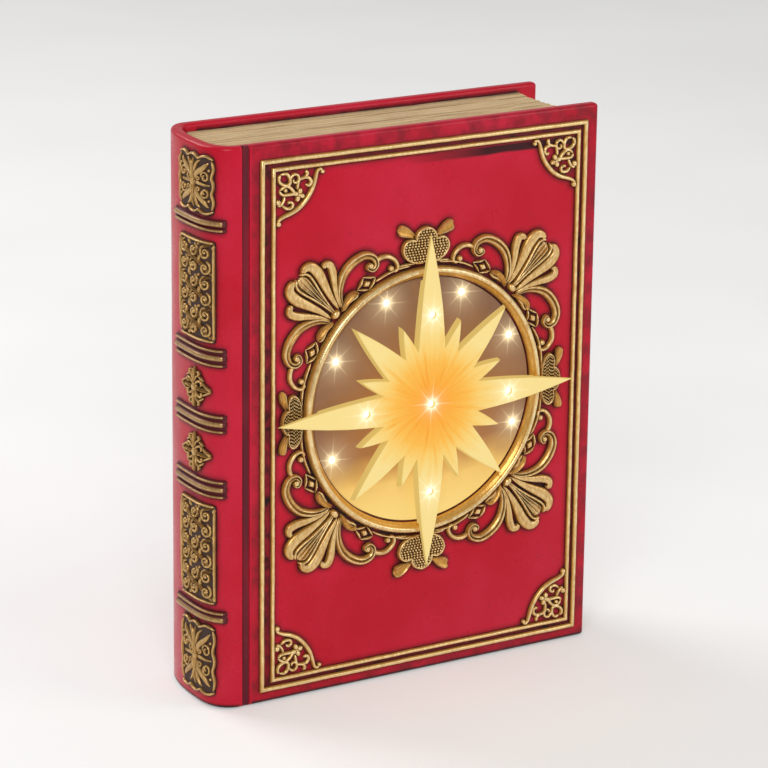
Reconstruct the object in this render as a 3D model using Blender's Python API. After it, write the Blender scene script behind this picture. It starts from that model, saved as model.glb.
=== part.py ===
"""A cast-resin book lamp: a closed book that stands upright, with a lit round window and a raised star.

Metres, +Z up. +X runs from the spine to the fore edge, and the front cover faces -Y.
The origin is the middle of the bounding box's base. The boards' lower edges stand on z = 0.
"""

import math

import bmesh
import bpy
from mathutils import Matrix, Vector

# Book
HEIGHT = 0.2200
WIDTH = 0.1716
THICKNESS = 0.0480
BOARD = 0.0048
EDGE_ROUND = 0.0014
EDGE_STEPS = 2
GAP = 0.0003
CUT_OVERRUN = 0.0040

# Spine: a front and a rear quarter curve that meet at the crown
CROWN_DEPTH = 0.0150
SPINE_FRONT_RUN = 0.0118
SPINE_REAR_RUN = 0.0136
SPINE_FRONT_POWER = 2.3
SPINE_REAR_POWER = 2.5
SPINE_STEPS = 8

# Moulded hinge grooves
GROOVE_FROM_CROWN = 0.0131
GROOVE_WIDTH = 0.0032
GROOVE_DEPTH = 0.0012

# Page block
PAGE_INSET_ENDS = 0.0029
PAGE_INSET_FORE = 0.0091
PAGE_WALL = 0.0035
PAGE_FORE_HOLLOW = 0.0010
PAGE_FORE_STEPS = 8
PAGE_SPINE_WALL = 0.0120

# Window, ring and star
RING_FROM_FRAME = 0.0196
RING_BEAD = 0.0041
RING_HEIGHT = 0.0038
RING_SHOULDER_SHARES = (0.35, 0.22, 0.82, 0.80, 0.45)
RING_ABOVE_MIDDLE = 0.0015
RING_LEFT_OF_MIDDLE = 0.0010
RING_SEGMENTS = 48
WINDOW_LEDGE = 0.0004
WINDOW_PROUD = 0.0004
WINDOW_SHEET = 0.0020
CUP_FLANGE = 0.0026
CUP_DEPTH = 0.0118
CUP_SKIRT_ROOM = 0.0004
CUP_WALL = 0.0016
STAR_HEIGHT = 0.0070
STAR_ROUND = 0.0008
# Reach of the four tips of a quarter, and of every valley, as shares of RING_BORE
STAR_TIP_SHARES = (1.372, 0.703, 0.984, 0.703)
STAR_VALLEY_SHARE = 0.467
# How far each valley lies from its tip towards the next
STAR_VALLEY_TURN_SHARES = (0.70, 0.40, 0.60, 0.30)

# Lights
LED_RADIUS = 0.0015
LED_LENGTH = 0.0052
LED_HOLE = 0.0018
LED_SEGMENTS = 8
LED_PROUD = 0.0008
LED_SUNK = 0.0003
LED_LEG = 0.0005
LED_LEG_PITCH = 0.0015
LED_RIM_ROOM = 0.0007
LED_BOARD = 0.0016
# Reach of the star's lights as shares of RING_BORE
LED_STAR_SHARE = 0.722
LED_STAR_LEFT_SHARE = 0.589
# Degrees round the window, from the right
LED_WINDOW_TURNS = (67.5, 112.5, 28.0, 152.0, -20.0, -156.0)

# Gilt frame lines of the front
FRAME_FROM_FORE = 0.0051
FRAME_FROM_GROOVE = 0.0059
FRAME_FROM_FOOT = 0.0043
FRAME_FROM_HEAD = 0.0059
LINE_WIDTH = 0.0019
LINE_HEIGHT = 0.0010
LINE_SECTION_SHARE = 0.28
INNER_LINE_INSET = 0.0034
INNER_LINE_INSET_LEFT = 0.0047
INNER_LINE_WIDTH = 0.0017

# Cast reliefs of the front
RELIEF_HEIGHT = 0.0022
RELIEF_BEVEL_SHARE = 0.55
CORNER_HEIGHT = 0.0013
# Each next stroke of a relief is this much lower, so that no two tops lie in one plane
RELIEF_STEP_SHARE = 0.06
# The room between the ring and the frame line, as a share of the ring, that the drawn reliefs fill
RELIEF_ROOM_SHARE = 0.229
# The side crests are narrower, to stand inside the frame line
CREST_SIDE_SHARE = 0.62
# The corner pieces as a share of the height left over the ring
CORNER_ROOM_SHARE = 0.466

# Gilt work of the spine
PANEL_HALF_WIDTH = 0.0112
PANEL_THICK = 0.0014
PANEL_SCALLOP = 0.0013
BAND_FRONT = 0.0152
BAND_REAR = 0.0165
BAND_PITCH = 0.0024
BAND_RIDGE = 0.0016
BAND_WEB = 0.0005
ROSETTE_HALF_WIDTH = 0.0096
ROSETTE_HALF_HEIGHT = 0.0082
SPINE_STATIONS = 12

# Battery compartment, in the back board
CELL_RADIUS = 0.00725
CELL_LENGTH = 0.0493
CELL_NUB_RADIUS = 0.00275
CELL_NUB = 0.0012
CELL_SEGMENTS = 16
CELL_PITCH = 0.0150
CELL_COUNT = 3
CELL_SIDE_ROOM = 0.0003
SPRING_ROOM = 0.0042
BAY_FROM_FORE = 0.0820
BAY_CENTRE_HEIGHT = 0.0620
BAY_WIDTH = 0.0492
BAY_HEIGHT = 0.0640
BAY_END_ROOM = 0.0040
TRAY_WALL = 0.0016
TRAY_FLANGE = 0.0040
TRAY_RIB = 0.0014
TRAY_RIB_HEIGHT = 0.0028
CONTACT_PLATE = 0.0004
CONTACT_WIDTH = 0.0110
TAG_WIDTH = 0.0030
TAG_REACH = 0.0040
TAG_LAP = 0.0030
SPRING_WIRE = 0.00035
SPRING_WIDE = 0.0042
SPRING_NARROW = 0.0026
SPRING_TURNS = 3
SPRING_POINTS = 8

# Battery door
DOOR_PLATE = 0.0022
DOOR_PIN_RADIUS = 0.0010
DOOR_PIN_PLAY = 0.0001
DOOR_BARREL = 0.0024
DOOR_EAR = 0.0030
DOOR_EAR_RADIUS = 0.0021
DOOR_STEP = 0.0001
DOOR_SEGMENTS = 16
TONGUE_WIDTH = 0.0100
TONGUE_THICK = 0.0014
TONGUE_REACH = 0.0046
TONGUE_NOSE = 0.0007
TONGUE_NOSE_LENGTH = 0.0012
FINGER_WIDTH = 0.0140
FINGER_HEIGHT = 0.0030

# Switch and its board
SWITCH_ABOVE_BAY = 0.0170
SWITCH_WINDOW_WIDTH = 0.0140
SWITCH_WINDOW_HEIGHT = 0.0070
SWITCH_WINDOW_DEPTH = 0.0024
SWITCH_SLOT_HEIGHT = 0.0034
SWITCH_BODY_WIDTH = 0.0124
SWITCH_BODY_HEIGHT = 0.0060
SWITCH_BODY_DEPTH = 0.0052
SWITCH_POCKET = 0.0022
SWITCH_TRAVEL = 0.0050
KNOB_WIDTH = 0.0032
KNOB_HEIGHT = 0.0028
KNOB_SUNK = 0.0004
KNOB_TOOTH = 0.0004
KNOB_TEETH = 3
BOARD_SHEET = 0.0012
TIMER_WIDTH = 0.0340
TIMER_HEIGHT = 0.0160
POST_SIDE = 0.0030

# Inner wiring
LEAD_DIAMETER = 0.0020
LEAD_STEPS = 3

# Reference planes and centres
FACE_Y = STAR_HEIGHT - (THICKNESS + STAR_HEIGHT) / 2
BACK_Y = FACE_Y + THICKNESS
FRONT_INNER_Y = FACE_Y + BOARD
BACK_INNER_Y = BACK_Y - BOARD
SPINE_X = GAP + PANEL_THICK - WIDTH / 2
FORE_X = WIDTH / 2
CROWN_Y = FACE_Y + CROWN_DEPTH
GROOVE_X = SPINE_X + GROOVE_FROM_CROWN
FRAME_RIGHT = FORE_X - FRAME_FROM_FORE
FRAME_LEFT = GROOVE_X + FRAME_FROM_GROOVE
FRAME_FOOT = FRAME_FROM_FOOT
FRAME_TOP = HEIGHT - FRAME_FROM_HEAD
RING_X = (FRAME_LEFT + FRAME_RIGHT) / 2 - RING_LEFT_OF_MIDDLE
RING_Z = HEIGHT / 2 + RING_ABOVE_MIDDLE
RING_RADIUS = (FRAME_RIGHT - FRAME_LEFT) / 2 - RING_FROM_FRAME
RING_BORE = RING_RADIUS - RING_BEAD
WINDOW_OPENING = RING_BORE - WINDOW_LEDGE
CUP_SKIRT_RADIUS = WINDOW_OPENING - CUP_SKIRT_ROOM
CUP_INNER_RADIUS = CUP_SKIRT_RADIUS - CUP_WALL
LED_WINDOW_RADIUS = CUP_INNER_RADIUS - LED_RIM_ROOM - LED_HOLE
RELIEF_Y = FACE_Y - GAP
INNER_LEFT = FRAME_LEFT + INNER_LINE_INSET_LEFT + INNER_LINE_WIDTH
INNER_RIGHT = FRAME_RIGHT - INNER_LINE_INSET - INNER_LINE_WIDTH
INNER_FOOT = FRAME_FOOT + INNER_LINE_INSET + INNER_LINE_WIDTH
INNER_TOP = FRAME_TOP - INNER_LINE_INSET - INNER_LINE_WIDTH
RELIEF_ROOM = RING_X - RING_RADIUS - INNER_LEFT
RELIEF_SPREAD_SHARE = RELIEF_ROOM / (RELIEF_ROOM_SHARE * RING_RADIUS)
CORNER_SPAN = CORNER_ROOM_SHARE * (INNER_TOP - RING_Z - RING_RADIUS)
BAY_X = FORE_X - BAY_FROM_FORE
BAY_LOW = BAY_CENTRE_HEIGHT - BAY_HEIGHT / 2
BAY_TOP = BAY_CENTRE_HEIGHT + BAY_HEIGHT / 2
CELL_Y = BACK_Y - DOOR_PLATE - 2 * GAP - CELL_RADIUS
TRAY_FLOOR_Y = CELL_Y - CELL_RADIUS - GAP
TRAY_INNER_WIDTH = CELL_COUNT * CELL_PITCH + 2 * CELL_SIDE_ROOM
TRAY_LOW = BAY_LOW + BAY_END_ROOM
TRAY_TOP = TRAY_LOW + CELL_LENGTH + CELL_NUB + SPRING_ROOM + 2 * CONTACT_PLATE
FLANGE_Y = BACK_INNER_Y - GAP
HINGE_Y = BACK_Y - DOOR_BARREL
HINGE_Z = BAY_TOP - GAP - DOOR_BARREL
SWITCH_Z = BAY_TOP + SWITCH_ABOVE_BAY
SWITCH_FRONT_Y = FLANGE_Y - SWITCH_BODY_DEPTH
TIMER_Y = SWITCH_FRONT_Y - GAP
LED_BOARD_Y = FACE_Y + CUP_DEPTH + GAP
LED_BOARD_BACK_Y = LED_BOARD_Y + LED_BOARD


# Scene and materials


def clear_scene():
    """Removes whatever the startup scene holds."""
    for obj in list(bpy.data.objects):
        bpy.data.objects.remove(obj, do_unlink=True)


def make_material(name, color, roughness, metallic=0.0):
    """A Principled BSDF material with one colour."""
    material = bpy.data.materials.new(name)
    material.use_nodes = True
    shader = material.node_tree.nodes["Principled BSDF"]
    shader.inputs["Base Color"].default_value = (*color, 1.0)
    shader.inputs["Roughness"].default_value = roughness
    shader.inputs["Metallic"].default_value = metallic
    material.diffuse_color = (*color, 1.0)
    return material


def make_materials():
    """Every finish of the lamp, by name."""
    return {
        "cover_red": make_material("cover_red", (0.55, 0.01, 0.03), 0.35),
        "page_cream": make_material("page_cream", (0.52, 0.40, 0.22), 0.7),
        "gilt": make_material("gilt", (0.70, 0.40, 0.10), 0.35, 0.8),
        "window": make_material("window", (0.45, 0.30, 0.20), 0.4),
        "star": make_material("star", (0.90, 0.68, 0.25), 0.5),
        "led_lens": make_material("led_lens", (1.0, 0.85, 0.55), 0.15),
        "circuit": make_material("circuit", (0.02, 0.20, 0.06), 0.4),
        "plastic": make_material("plastic", (0.03, 0.03, 0.03), 0.5),
        "steel": make_material("steel", (0.6, 0.6, 0.6), 0.3, 1.0),
        "cell": make_material("cell", (0.10, 0.12, 0.16), 0.35, 0.3),
        "wire": make_material("wire", (0.55, 0.02, 0.02), 0.5),
    }


def make_empty(name, location=(0.0, 0.0, 0.0)):
    """An empty that other objects are parented to."""
    empty = bpy.data.objects.new(name, None)
    empty.location = location
    bpy.context.scene.collection.objects.link(empty)
    return empty


def add_object(name, mesh, material, parent, location=(0.0, 0.0, 0.0), scale=(1.0, 1.0, 1.0)):
    """A visible sub-part, smooth on its round faces. Its location is in the parent's space."""
    obj = bpy.data.objects.new(name, mesh)
    obj.parent = parent
    obj.location = location
    obj.scale = scale
    if not mesh.materials:
        mesh.materials.append(material)
        mesh.shade_smooth()
        mesh.set_sharp_from_angle(angle=math.radians(35))
    bpy.context.scene.collection.objects.link(obj)
    return obj


# Mesh builders


def finished(name, bm):
    """The mesh of a bmesh, with its faces pointing out."""
    bmesh.ops.recalc_face_normals(bm, faces=bm.faces)
    mesh = bpy.data.meshes.new(name)
    bm.to_mesh(mesh)
    bm.free()
    return mesh


def placed(axis, first, second, along):
    """A point from its two outline coordinates and its place along an axis."""
    if axis == "X":
        return Vector((along, first, second))
    if axis == "Y":
        return Vector((first, along, second))
    return Vector((first, second, along))


def lofted(name, sections, axis):
    """A solid through (outline, place along the axis) sections, with its ends closed."""
    bm = bmesh.new()
    loops = []
    for outline, along in sections:
        loops.append([bm.verts.new(placed(axis, a, b, along)) for a, b in outline])
    bm.faces.new(loops[0])
    bm.faces.new(loops[-1])
    for low, high in zip(loops, loops[1:]):
        for i, vertex in enumerate(low):
            j = (i + 1) % len(low)
            bm.faces.new((vertex, low[j], high[j], high[i]))
    return finished(name, bm)


def extruded(name, outline, axis, low, high):
    """A straight prism of an outline, from low to high along the axis."""
    return lofted(name, [(outline, low), (outline, high)], axis)


def box(name, low, high):
    """A block between two corners."""
    outline = rectangle(low[0], high[0], low[1], high[1])
    return extruded(name, outline, "Z", low[2], high[2])


def rectangle(left, right, low, high):
    """The four corners of an upright rectangle."""
    return [(left, low), (right, low), (right, high), (left, high)]


def circle(radius, segments, centre=(0.0, 0.0)):
    """A round outline."""
    turns = [math.tau * i / segments for i in range(segments)]
    return [(centre[0] + radius * math.cos(t), centre[1] + radius * math.sin(t)) for t in turns]


def turned(name, profile, axis, segments):
    """A turned solid about an axis through zero, from (radius, along) steps between its two end faces."""
    return lofted(name, [(circle(radius, segments), along) for radius, along in profile], axis)


def turned_ring(name, profile, axis, segments):
    """A turned ring about an axis through zero, from a closed (radius, along) profile."""
    bm = bmesh.new()
    rings = []
    for radius, along in profile:
        rings.append([bm.verts.new(placed(axis, a, b, along)) for a, b in circle(radius, segments)])
    for here, after in zip(rings, rings[1:] + rings[:1]):
        for i, vertex in enumerate(here):
            j = (i + 1) % segments
            bm.faces.new((vertex, here[j], after[j], after[i]))
    return finished(name, bm)


def helper(name, mesh):
    """A hidden object that only a Boolean uses."""
    obj = bpy.data.objects.new(name, mesh)
    obj.hide_render = True
    obj.display_type = "WIRE"
    bpy.context.scene.collection.objects.link(obj)
    return obj


def add_boolean(obj, mesh, operation):
    """A live Boolean of the object with a hidden helper that follows it."""
    tool = helper(f"{obj.name}_{operation.lower()}_{len(obj.modifiers)}", mesh)
    tool.parent = obj
    modifier = obj.modifiers.new(tool.name, "BOOLEAN")
    modifier.object = tool
    modifier.operation = operation


def cut(obj, *meshes):
    """Cuts each mesh out of the object."""
    for mesh in meshes:
        add_boolean(obj, mesh, "DIFFERENCE")


def join(obj, *meshes):
    """Joins each mesh to the object."""
    for mesh in meshes:
        add_boolean(obj, mesh, "UNION")


def fused(name, meshes, trims=()):
    """One mesh from several that overlap, less the trims, for pieces whose copies share it."""
    base = helper(name, meshes[0])
    tools = []
    for operation, group in (("UNION", meshes[1:]), ("DIFFERENCE", trims)):
        for mesh in group:
            tool = helper(f"{name}_{len(tools)}", mesh)
            modifier = base.modifiers.new(tool.name, "BOOLEAN")
            modifier.object = tool
            modifier.operation = operation
            tools.append(tool)
    bpy.context.view_layer.update()
    evaluated = base.evaluated_get(bpy.context.evaluated_depsgraph_get())
    mesh = bpy.data.meshes.new_from_object(evaluated)
    mesh.name = name
    for obj in [base, *tools]:
        bpy.data.objects.remove(obj, do_unlink=True)
    return mesh


def smooth_path(points, steps):
    """Points of a Catmull-Rom curve through the given ones, with steps to each span."""
    ends = [2 * points[0] - points[1], *points, 2 * points[-1] - points[-2]]
    path = []
    for before, start, end, after in zip(ends, ends[1:], ends[2:], ends[3:]):
        for i in range(steps):
            t = i / steps
            path.append(
                (
                    2 * start
                    + (end - before) * t
                    + (2 * before - 5 * start + 4 * end - after) * t**2
                    + (3 * start - before - 3 * end + after) * t**3
                )
                / 2
            )
    path.append(points[-1])
    return path


def add_tube(name, points, radius, material, parent, resolution=1):
    """A round wire along points."""
    curve = bpy.data.curves.new(name, "CURVE")
    curve.dimensions = "3D"
    curve.bevel_depth = radius
    curve.bevel_resolution = resolution
    curve.use_fill_caps = True
    spline = curve.splines.new("POLY")
    spline.points.add(len(points) - 1)
    for target, point in zip(spline.points, points):
        target.co = (*point, 1.0)
    curve.materials.append(material)
    obj = bpy.data.objects.new(name, curve)
    obj.parent = parent
    bpy.context.scene.collection.objects.link(obj)
    return obj


# Relief strokes of the front cover


def stroke(name, points, widths, height, steps=2):
    """A ridge that follows points (x, z) on the face plane, with a width at each, rising towards -Y."""
    path = smooth_path([Vector((*p, w)) for p, w in zip(points, widths)], steps)
    bm = bmesh.new()
    stations = []
    for i, place in enumerate(path):
        ahead = (path[min(i + 1, len(path) - 1)] - path[max(i - 1, 0)]).to_2d().normalized()
        side = Vector((-ahead.y, ahead.x))
        half = place.z / 2
        crest = half * RELIEF_BEVEL_SHARE
        across = [(-half, 0.0), (-crest, height), (crest, height), (half, 0.0)]
        spots = [(place.to_2d() + side * reach, rise) for reach, rise in across]
        stations.append([bm.verts.new((spot.x, -rise, spot.y)) for spot, rise in spots])
    for start, end in zip(stations, stations[1:]):
        for i in range(len(start)):
            j = (i + 1) % len(start)
            bm.faces.new((start[i], start[j], end[j], end[i]))
    bm.faces.new(stations[0])
    bm.faces.new(stations[-1])
    return finished(name, bm)


def boss(name, centre, radius, height, segments=8):
    """A low round pad on the face plane, with a bevelled rim."""
    crest = radius * math.sqrt(RELIEF_BEVEL_SHARE)
    foot = circle(radius, segments, centre)
    top = circle(crest, segments, centre)
    return lofted(name, [(foot, 0.0), (top, -height)], "Y")


def scaled(points, size):
    """Points given as shares of a size."""
    return [(a * size, b * size) for a, b in points]


def mirrored(points):
    """Points with their two coordinates swapped, which mirrors them in the diagonal."""
    return [(b, a) for a, b in points]


# Shares of RING_RADIUS, from the ring's centre towards the upper right: the centre line, then widths
PALMETTE_HALF_SHARES = (
    (((0.700, 0.760), (0.810, 0.915), (0.880, 1.040), (0.945, 1.115), (0.995, 1.095)),
     (0.025, 0.050, 0.072, 0.066, 0.036)),
    (((0.690, 0.765), (0.742, 0.915), (0.762, 1.035), (0.788, 1.100), (0.824, 1.092)),
     (0.025, 0.046, 0.060, 0.058, 0.034)),
    (((0.672, 0.770), (0.700, 0.920), (0.662, 1.040), (0.580, 1.118), (0.482, 1.142),
      (0.418, 1.092), (0.440, 1.036), (0.488, 1.052)),
     (0.022, 0.044, 0.062, 0.068, 0.062, 0.052, 0.046, 0.030)),
    (((0.424, 1.062), (0.338, 1.104), (0.254, 1.078), (0.232, 1.024), (0.282, 1.022)),
     (0.024, 0.036, 0.034, 0.030, 0.028)),
    (((0.650, 0.790), (0.560, 0.880), (0.470, 0.945), (0.380, 0.968), (0.260, 1.018)),
     (0.020, 0.048, 0.070, 0.024, 0.020)),
)
PALMETTE_SPINE_SHARES = (
    ((0.690, 0.690), (0.840, 0.840), (0.960, 0.960), (1.062, 1.062)),
    (0.060, 0.080, 0.120, 0.070),
)
PALMETTE_ROOT_SHARES = (0.735, 0.735, 0.062)


def ring_trim():
    """The ring's own room, which a relief beside it keeps clear of."""
    outline = circle(RING_RADIUS + GAP, RING_SEGMENTS)
    return extruded("ring_trim", outline, "Y", -RING_HEIGHT - CUT_OVERRUN, CUT_OVERRUN)


def on_relief(points, spread):
    """Points given as shares of the ring's radius, with what lies outside the ring spread outwards."""
    placed_points = []
    for a, b in points:
        reach = math.hypot(a, b)
        grown = RING_RADIUS * (1 + (reach - 1) * spread) / reach
        placed_points.append((a * grown, b * grown))
    return placed_points


def palmette_mesh():
    """The fan and its scrolls in the upper right quarter, with the ring's centre as origin."""
    size = RING_RADIUS * RELIEF_SPREAD_SHARE
    points, widths = PALMETTE_SPINE_SHARES
    middle = on_relief(points, RELIEF_SPREAD_SHARE)
    parts = [stroke("fan_middle", middle, [w * size for w in widths], RELIEF_HEIGHT)]
    *root, radius = PALMETTE_ROOT_SHARES
    parts.append(boss("fan_root", on_relief([root], RELIEF_SPREAD_SHARE)[0], radius * size, RELIEF_HEIGHT))
    for i, (points, widths) in enumerate(PALMETTE_HALF_SHARES):
        rise = RELIEF_HEIGHT * (1 - i * RELIEF_STEP_SHARE)
        for side in (points, mirrored(points)):
            line = on_relief(side, RELIEF_SPREAD_SHARE)
            parts.append(stroke(f"fan_{len(parts)}", line, [w * size for w in widths], rise))
    return fused("palmette", parts, [ring_trim()])


CREST_LOBE_SHARES = (0.110, 1.118, 0.092)
CREST_TOP_LOBE_SHARES = (0.0, 1.195, 0.078)
CREST_STEM_SHARES = (((0.0, 1.030), (0.0, 1.120), (0.0, 1.200)), (0.050, 0.120, 0.060))
CREST_LEAF_SHARES = (((0.050, 1.180), (0.120, 1.245), (0.190, 1.285), (0.235, 1.290)),
                     (0.050, 0.074, 0.080, 0.040))


def crest_mesh(name, outward_share):
    """The three-lobed flower above the ring, with the ring's centre as origin."""
    size = RING_RADIUS * RELIEF_SPREAD_SHARE * (1 + outward_share) / 2
    points, widths = CREST_STEM_SHARES
    stem = on_crest(points, outward_share)
    parts = [stroke("stem", stem, [w * size for w in widths], RELIEF_HEIGHT)]
    *lobe, lobe_radius = CREST_LOBE_SHARES
    leaf, leaf_widths = CREST_LEAF_SHARES
    for side in (-1, 1):
        lobe_height = RELIEF_HEIGHT * (1 - (2 + side) * RELIEF_STEP_SHARE)
        centre = on_crest([(side * lobe[0], lobe[1])], outward_share)[0]
        parts.append(boss(f"lobe_{side}", centre, lobe_radius * size, lobe_height))
        half = on_crest([(side * a, b) for a, b in leaf], outward_share)
        leaf_height = RELIEF_HEIGHT * (1 - (4 + side) * RELIEF_STEP_SHARE)
        parts.append(stroke(f"leaf_{side}", half, [w * size for w in leaf_widths], leaf_height))
    *top, radius = CREST_TOP_LOBE_SHARES
    top_height = RELIEF_HEIGHT * (1 + RELIEF_STEP_SHARE)
    parts.append(boss("top_lobe", on_crest([top], outward_share)[0], radius * size, top_height))
    return fused(name, parts, [ring_trim()])


def on_crest(points, outward_share):
    """Points given as shares of the ring's radius, with their height over the ring drawn in."""
    spread = RELIEF_SPREAD_SHARE
    return scaled([(a * spread, 1 + (b - 1) * spread * outward_share) for a, b in points], RING_RADIUS)


# Shares of CORNER_SPAN, from the inner corner of the inner frame line: the centre line, then widths
CORNER_STROKE_SHARES = (
    (((0.950, 0.050), (0.870, 0.100), (0.800, 0.300), (0.710, 0.510), (0.560, 0.680), (0.340, 0.790),
      (0.110, 0.860), (0.050, 0.940)),
     (0.100, 0.060, 0.062, 0.066, 0.066, 0.062, 0.060, 0.100)),
    (((0.140, 0.130), (0.270, 0.200), (0.330, 0.290), (0.410, 0.400), (0.520, 0.500), (0.650, 0.610)),
     (0.120, 0.150, 0.070, 0.080, 0.170, 0.070)),
    (((0.470, 0.450), (0.470, 0.260), (0.560, 0.170), (0.680, 0.160), (0.740, 0.250), (0.660, 0.300)),
     (0.060, 0.058, 0.056, 0.056, 0.054, 0.060)),
    (((0.470, 0.480), (0.270, 0.480), (0.180, 0.570), (0.190, 0.690), (0.290, 0.730), (0.330, 0.640)),
     (0.060, 0.058, 0.056, 0.056, 0.054, 0.060)),
    (((0.400, 0.400), (0.430, 0.250), (0.380, 0.150)),
     (0.060, 0.056, 0.080)),
    (((0.400, 0.400), (0.250, 0.420), (0.150, 0.370)),
     (0.060, 0.056, 0.080)),
)
CORNER_FLOWER_SHARES = (0.480, 0.470, 0.110)


def corner_mesh():
    """The openwork corner piece at the lower left, with the inner line's inner corner as origin."""
    parts = []
    for i, (points, widths) in enumerate(CORNER_STROKE_SHARES):
        wide = [w * CORNER_SPAN for w in widths]
        rise = CORNER_HEIGHT * (1 - i * RELIEF_STEP_SHARE)
        parts.append(stroke(f"scroll_{i}", scaled(points, CORNER_SPAN), wide, rise))
    x, z, radius = (share * CORNER_SPAN for share in CORNER_FLOWER_SHARES)
    parts.append(boss("flower", (x, z), radius, CORNER_HEIGHT * (1 + RELIEF_STEP_SHARE)))
    return fused("corner_scroll", parts)


# Cover and pages


def spine_quarter(run, depth, power, steps, towards):
    """Points of one quarter of the spine, from the crown to its board, about the crown's centre line."""
    points = []
    for i in range(steps + 1):
        turn = math.pi / 2 * i / steps
        x = SPINE_X + run * (1 - math.cos(turn) ** (2 / power))
        y = CROWN_Y + towards * depth * math.sin(turn) ** (2 / power)
        points.append((x, y))
    return points


def spine_profile(inset):
    """The spine's outline from the front board round to the back board, inset from the surface."""
    front_depth = CROWN_DEPTH - inset
    rear_depth = THICKNESS - CROWN_DEPTH - inset
    front = spine_quarter(SPINE_FRONT_RUN - inset, front_depth, SPINE_FRONT_POWER, SPINE_STEPS, -1)
    rear = spine_quarter(SPINE_REAR_RUN - inset, rear_depth, SPINE_REAR_POWER, SPINE_STEPS, 1)
    outline = list(reversed(front)) + rear[1:]
    return [(x + inset, y) for x, y in outline]


def cover_mesh():
    """The board, spine, board casting as one bent sheet, with its outer edges rounded."""
    outer = [(FORE_X, FACE_Y), *spine_profile(0.0), (FORE_X, BACK_Y)]
    inner = [(FORE_X, FRONT_INNER_Y), *spine_profile(BOARD), (FORE_X, BACK_INNER_Y)]
    outline = outer + list(reversed(inner))
    mesh = extruded("cover_case", outline, "Z", 0.0, HEIGHT)
    bm = bmesh.new()
    bm.from_mesh(mesh)
    edges = []
    for edge in bm.edges:
        low, high = (vertex.co for vertex in edge.verts)
        level = math.isclose(low.z, high.z)
        at_fore = min(low.x, high.x) > FORE_X - GAP
        if level or at_fore:
            edges.append(edge)
    bmesh.ops.bevel(
        bm,
        geom=edges,
        offset=EDGE_ROUND,
        segments=EDGE_STEPS,
        profile=0.5,
        affect="EDGES",
        clamp_overlap=True,
    )
    bm.to_mesh(mesh)
    bm.free()
    return mesh


def groove_cutter(name, face_y, towards):
    """A tapered bar along the hinge line. Its wide side lies outside the board."""
    half = GROOVE_WIDTH / 2
    floor_y = face_y + towards * GROOVE_DEPTH
    outside_y = face_y - towards * CUT_OVERRUN
    outline = [
        (GROOVE_X - half, outside_y),
        (GROOVE_X + half, outside_y),
        (GROOVE_X + half, face_y),
        (GROOVE_X + half - GROOVE_DEPTH / 2, floor_y),
        (GROOVE_X - half + GROOVE_DEPTH / 2, floor_y),
        (GROOVE_X - half, face_y),
    ]
    return extruded(name, outline, "Z", -CUT_OVERRUN, HEIGHT + CUT_OVERRUN)


def back_board_cuts():
    """The battery opening, the finger notch, and the switch's window and slot."""
    outside = BACK_Y + CUT_OVERRUN
    bay = box(
        "bay",
        (BAY_X - BAY_WIDTH / 2, BACK_INNER_Y - CUT_OVERRUN, BAY_LOW),
        (BAY_X + BAY_WIDTH / 2, outside, BAY_TOP),
    )
    notch = box(
        "finger_notch",
        (BAY_X - FINGER_WIDTH / 2, BACK_Y - BOARD / 2, BAY_LOW - FINGER_HEIGHT),
        (BAY_X + FINGER_WIDTH / 2, outside, BAY_LOW + CUT_OVERRUN),
    )
    window = box(
        "switch_window",
        (BAY_X - SWITCH_WINDOW_WIDTH / 2, BACK_Y - SWITCH_WINDOW_DEPTH, SWITCH_Z - SWITCH_WINDOW_HEIGHT / 2),
        (BAY_X + SWITCH_WINDOW_WIDTH / 2, outside, SWITCH_Z + SWITCH_WINDOW_HEIGHT / 2),
    )
    slot_half = (KNOB_WIDTH + SWITCH_TRAVEL) / 2 + GAP
    slot = box(
        "switch_slot",
        (BAY_X - slot_half, BACK_INNER_Y - CUT_OVERRUN, SWITCH_Z - SWITCH_SLOT_HEIGHT / 2),
        (BAY_X + slot_half, outside, SWITCH_Z + SWITCH_SLOT_HEIGHT / 2),
    )
    return bay, notch, window, slot


def timer_posts():
    """Two posts on the back board that carry the timer board."""
    reach = TIMER_WIDTH / 2 - POST_SIDE
    posts = []
    for side in (-1, 1):
        x = BAY_X + side * reach
        low = (x - POST_SIDE / 2, TIMER_Y + GAP, SWITCH_Z - POST_SIDE / 2)
        high = (x + POST_SIDE / 2, BACK_INNER_Y + BOARD / 2, SWITCH_Z + POST_SIDE / 2)
        posts.append(box(f"post_{side}", low, high))
    return posts


def add_cover(materials, book):
    """The red casting with its grooves and openings."""
    cover = add_object("cover_case", cover_mesh(), materials["cover_red"], book)
    window = extruded(
        "window_bore",
        circle(WINDOW_OPENING, RING_SEGMENTS, (RING_X, RING_Z)),
        "Y",
        FACE_Y - CUT_OVERRUN,
        FRONT_INNER_Y + CUT_OVERRUN,
    )
    cut(cover, groove_cutter("front_groove", FACE_Y, 1), groove_cutter("back_groove", BACK_Y, -1), window)
    cut(cover, *back_board_cuts())
    join(cover, *timer_posts())


def page_block_mesh():
    """The outer form of the pages: it follows the spine, and its fore edge is slightly hollow."""
    front_y = FRONT_INNER_Y + GAP
    back_y = BACK_INNER_Y - GAP
    fore_x = FORE_X - PAGE_INSET_FORE
    outline = list(spine_profile(BOARD + GAP))
    for i in range(PAGE_FORE_STEPS + 1):
        share = 1 - i / PAGE_FORE_STEPS
        hollow = PAGE_FORE_HOLLOW * math.sin(math.pi * share)
        outline.append((fore_x - hollow, front_y + share * (back_y - front_y)))
    return extruded("page_block", outline, "Z", PAGE_INSET_ENDS, HEIGHT - PAGE_INSET_ENDS)


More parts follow.
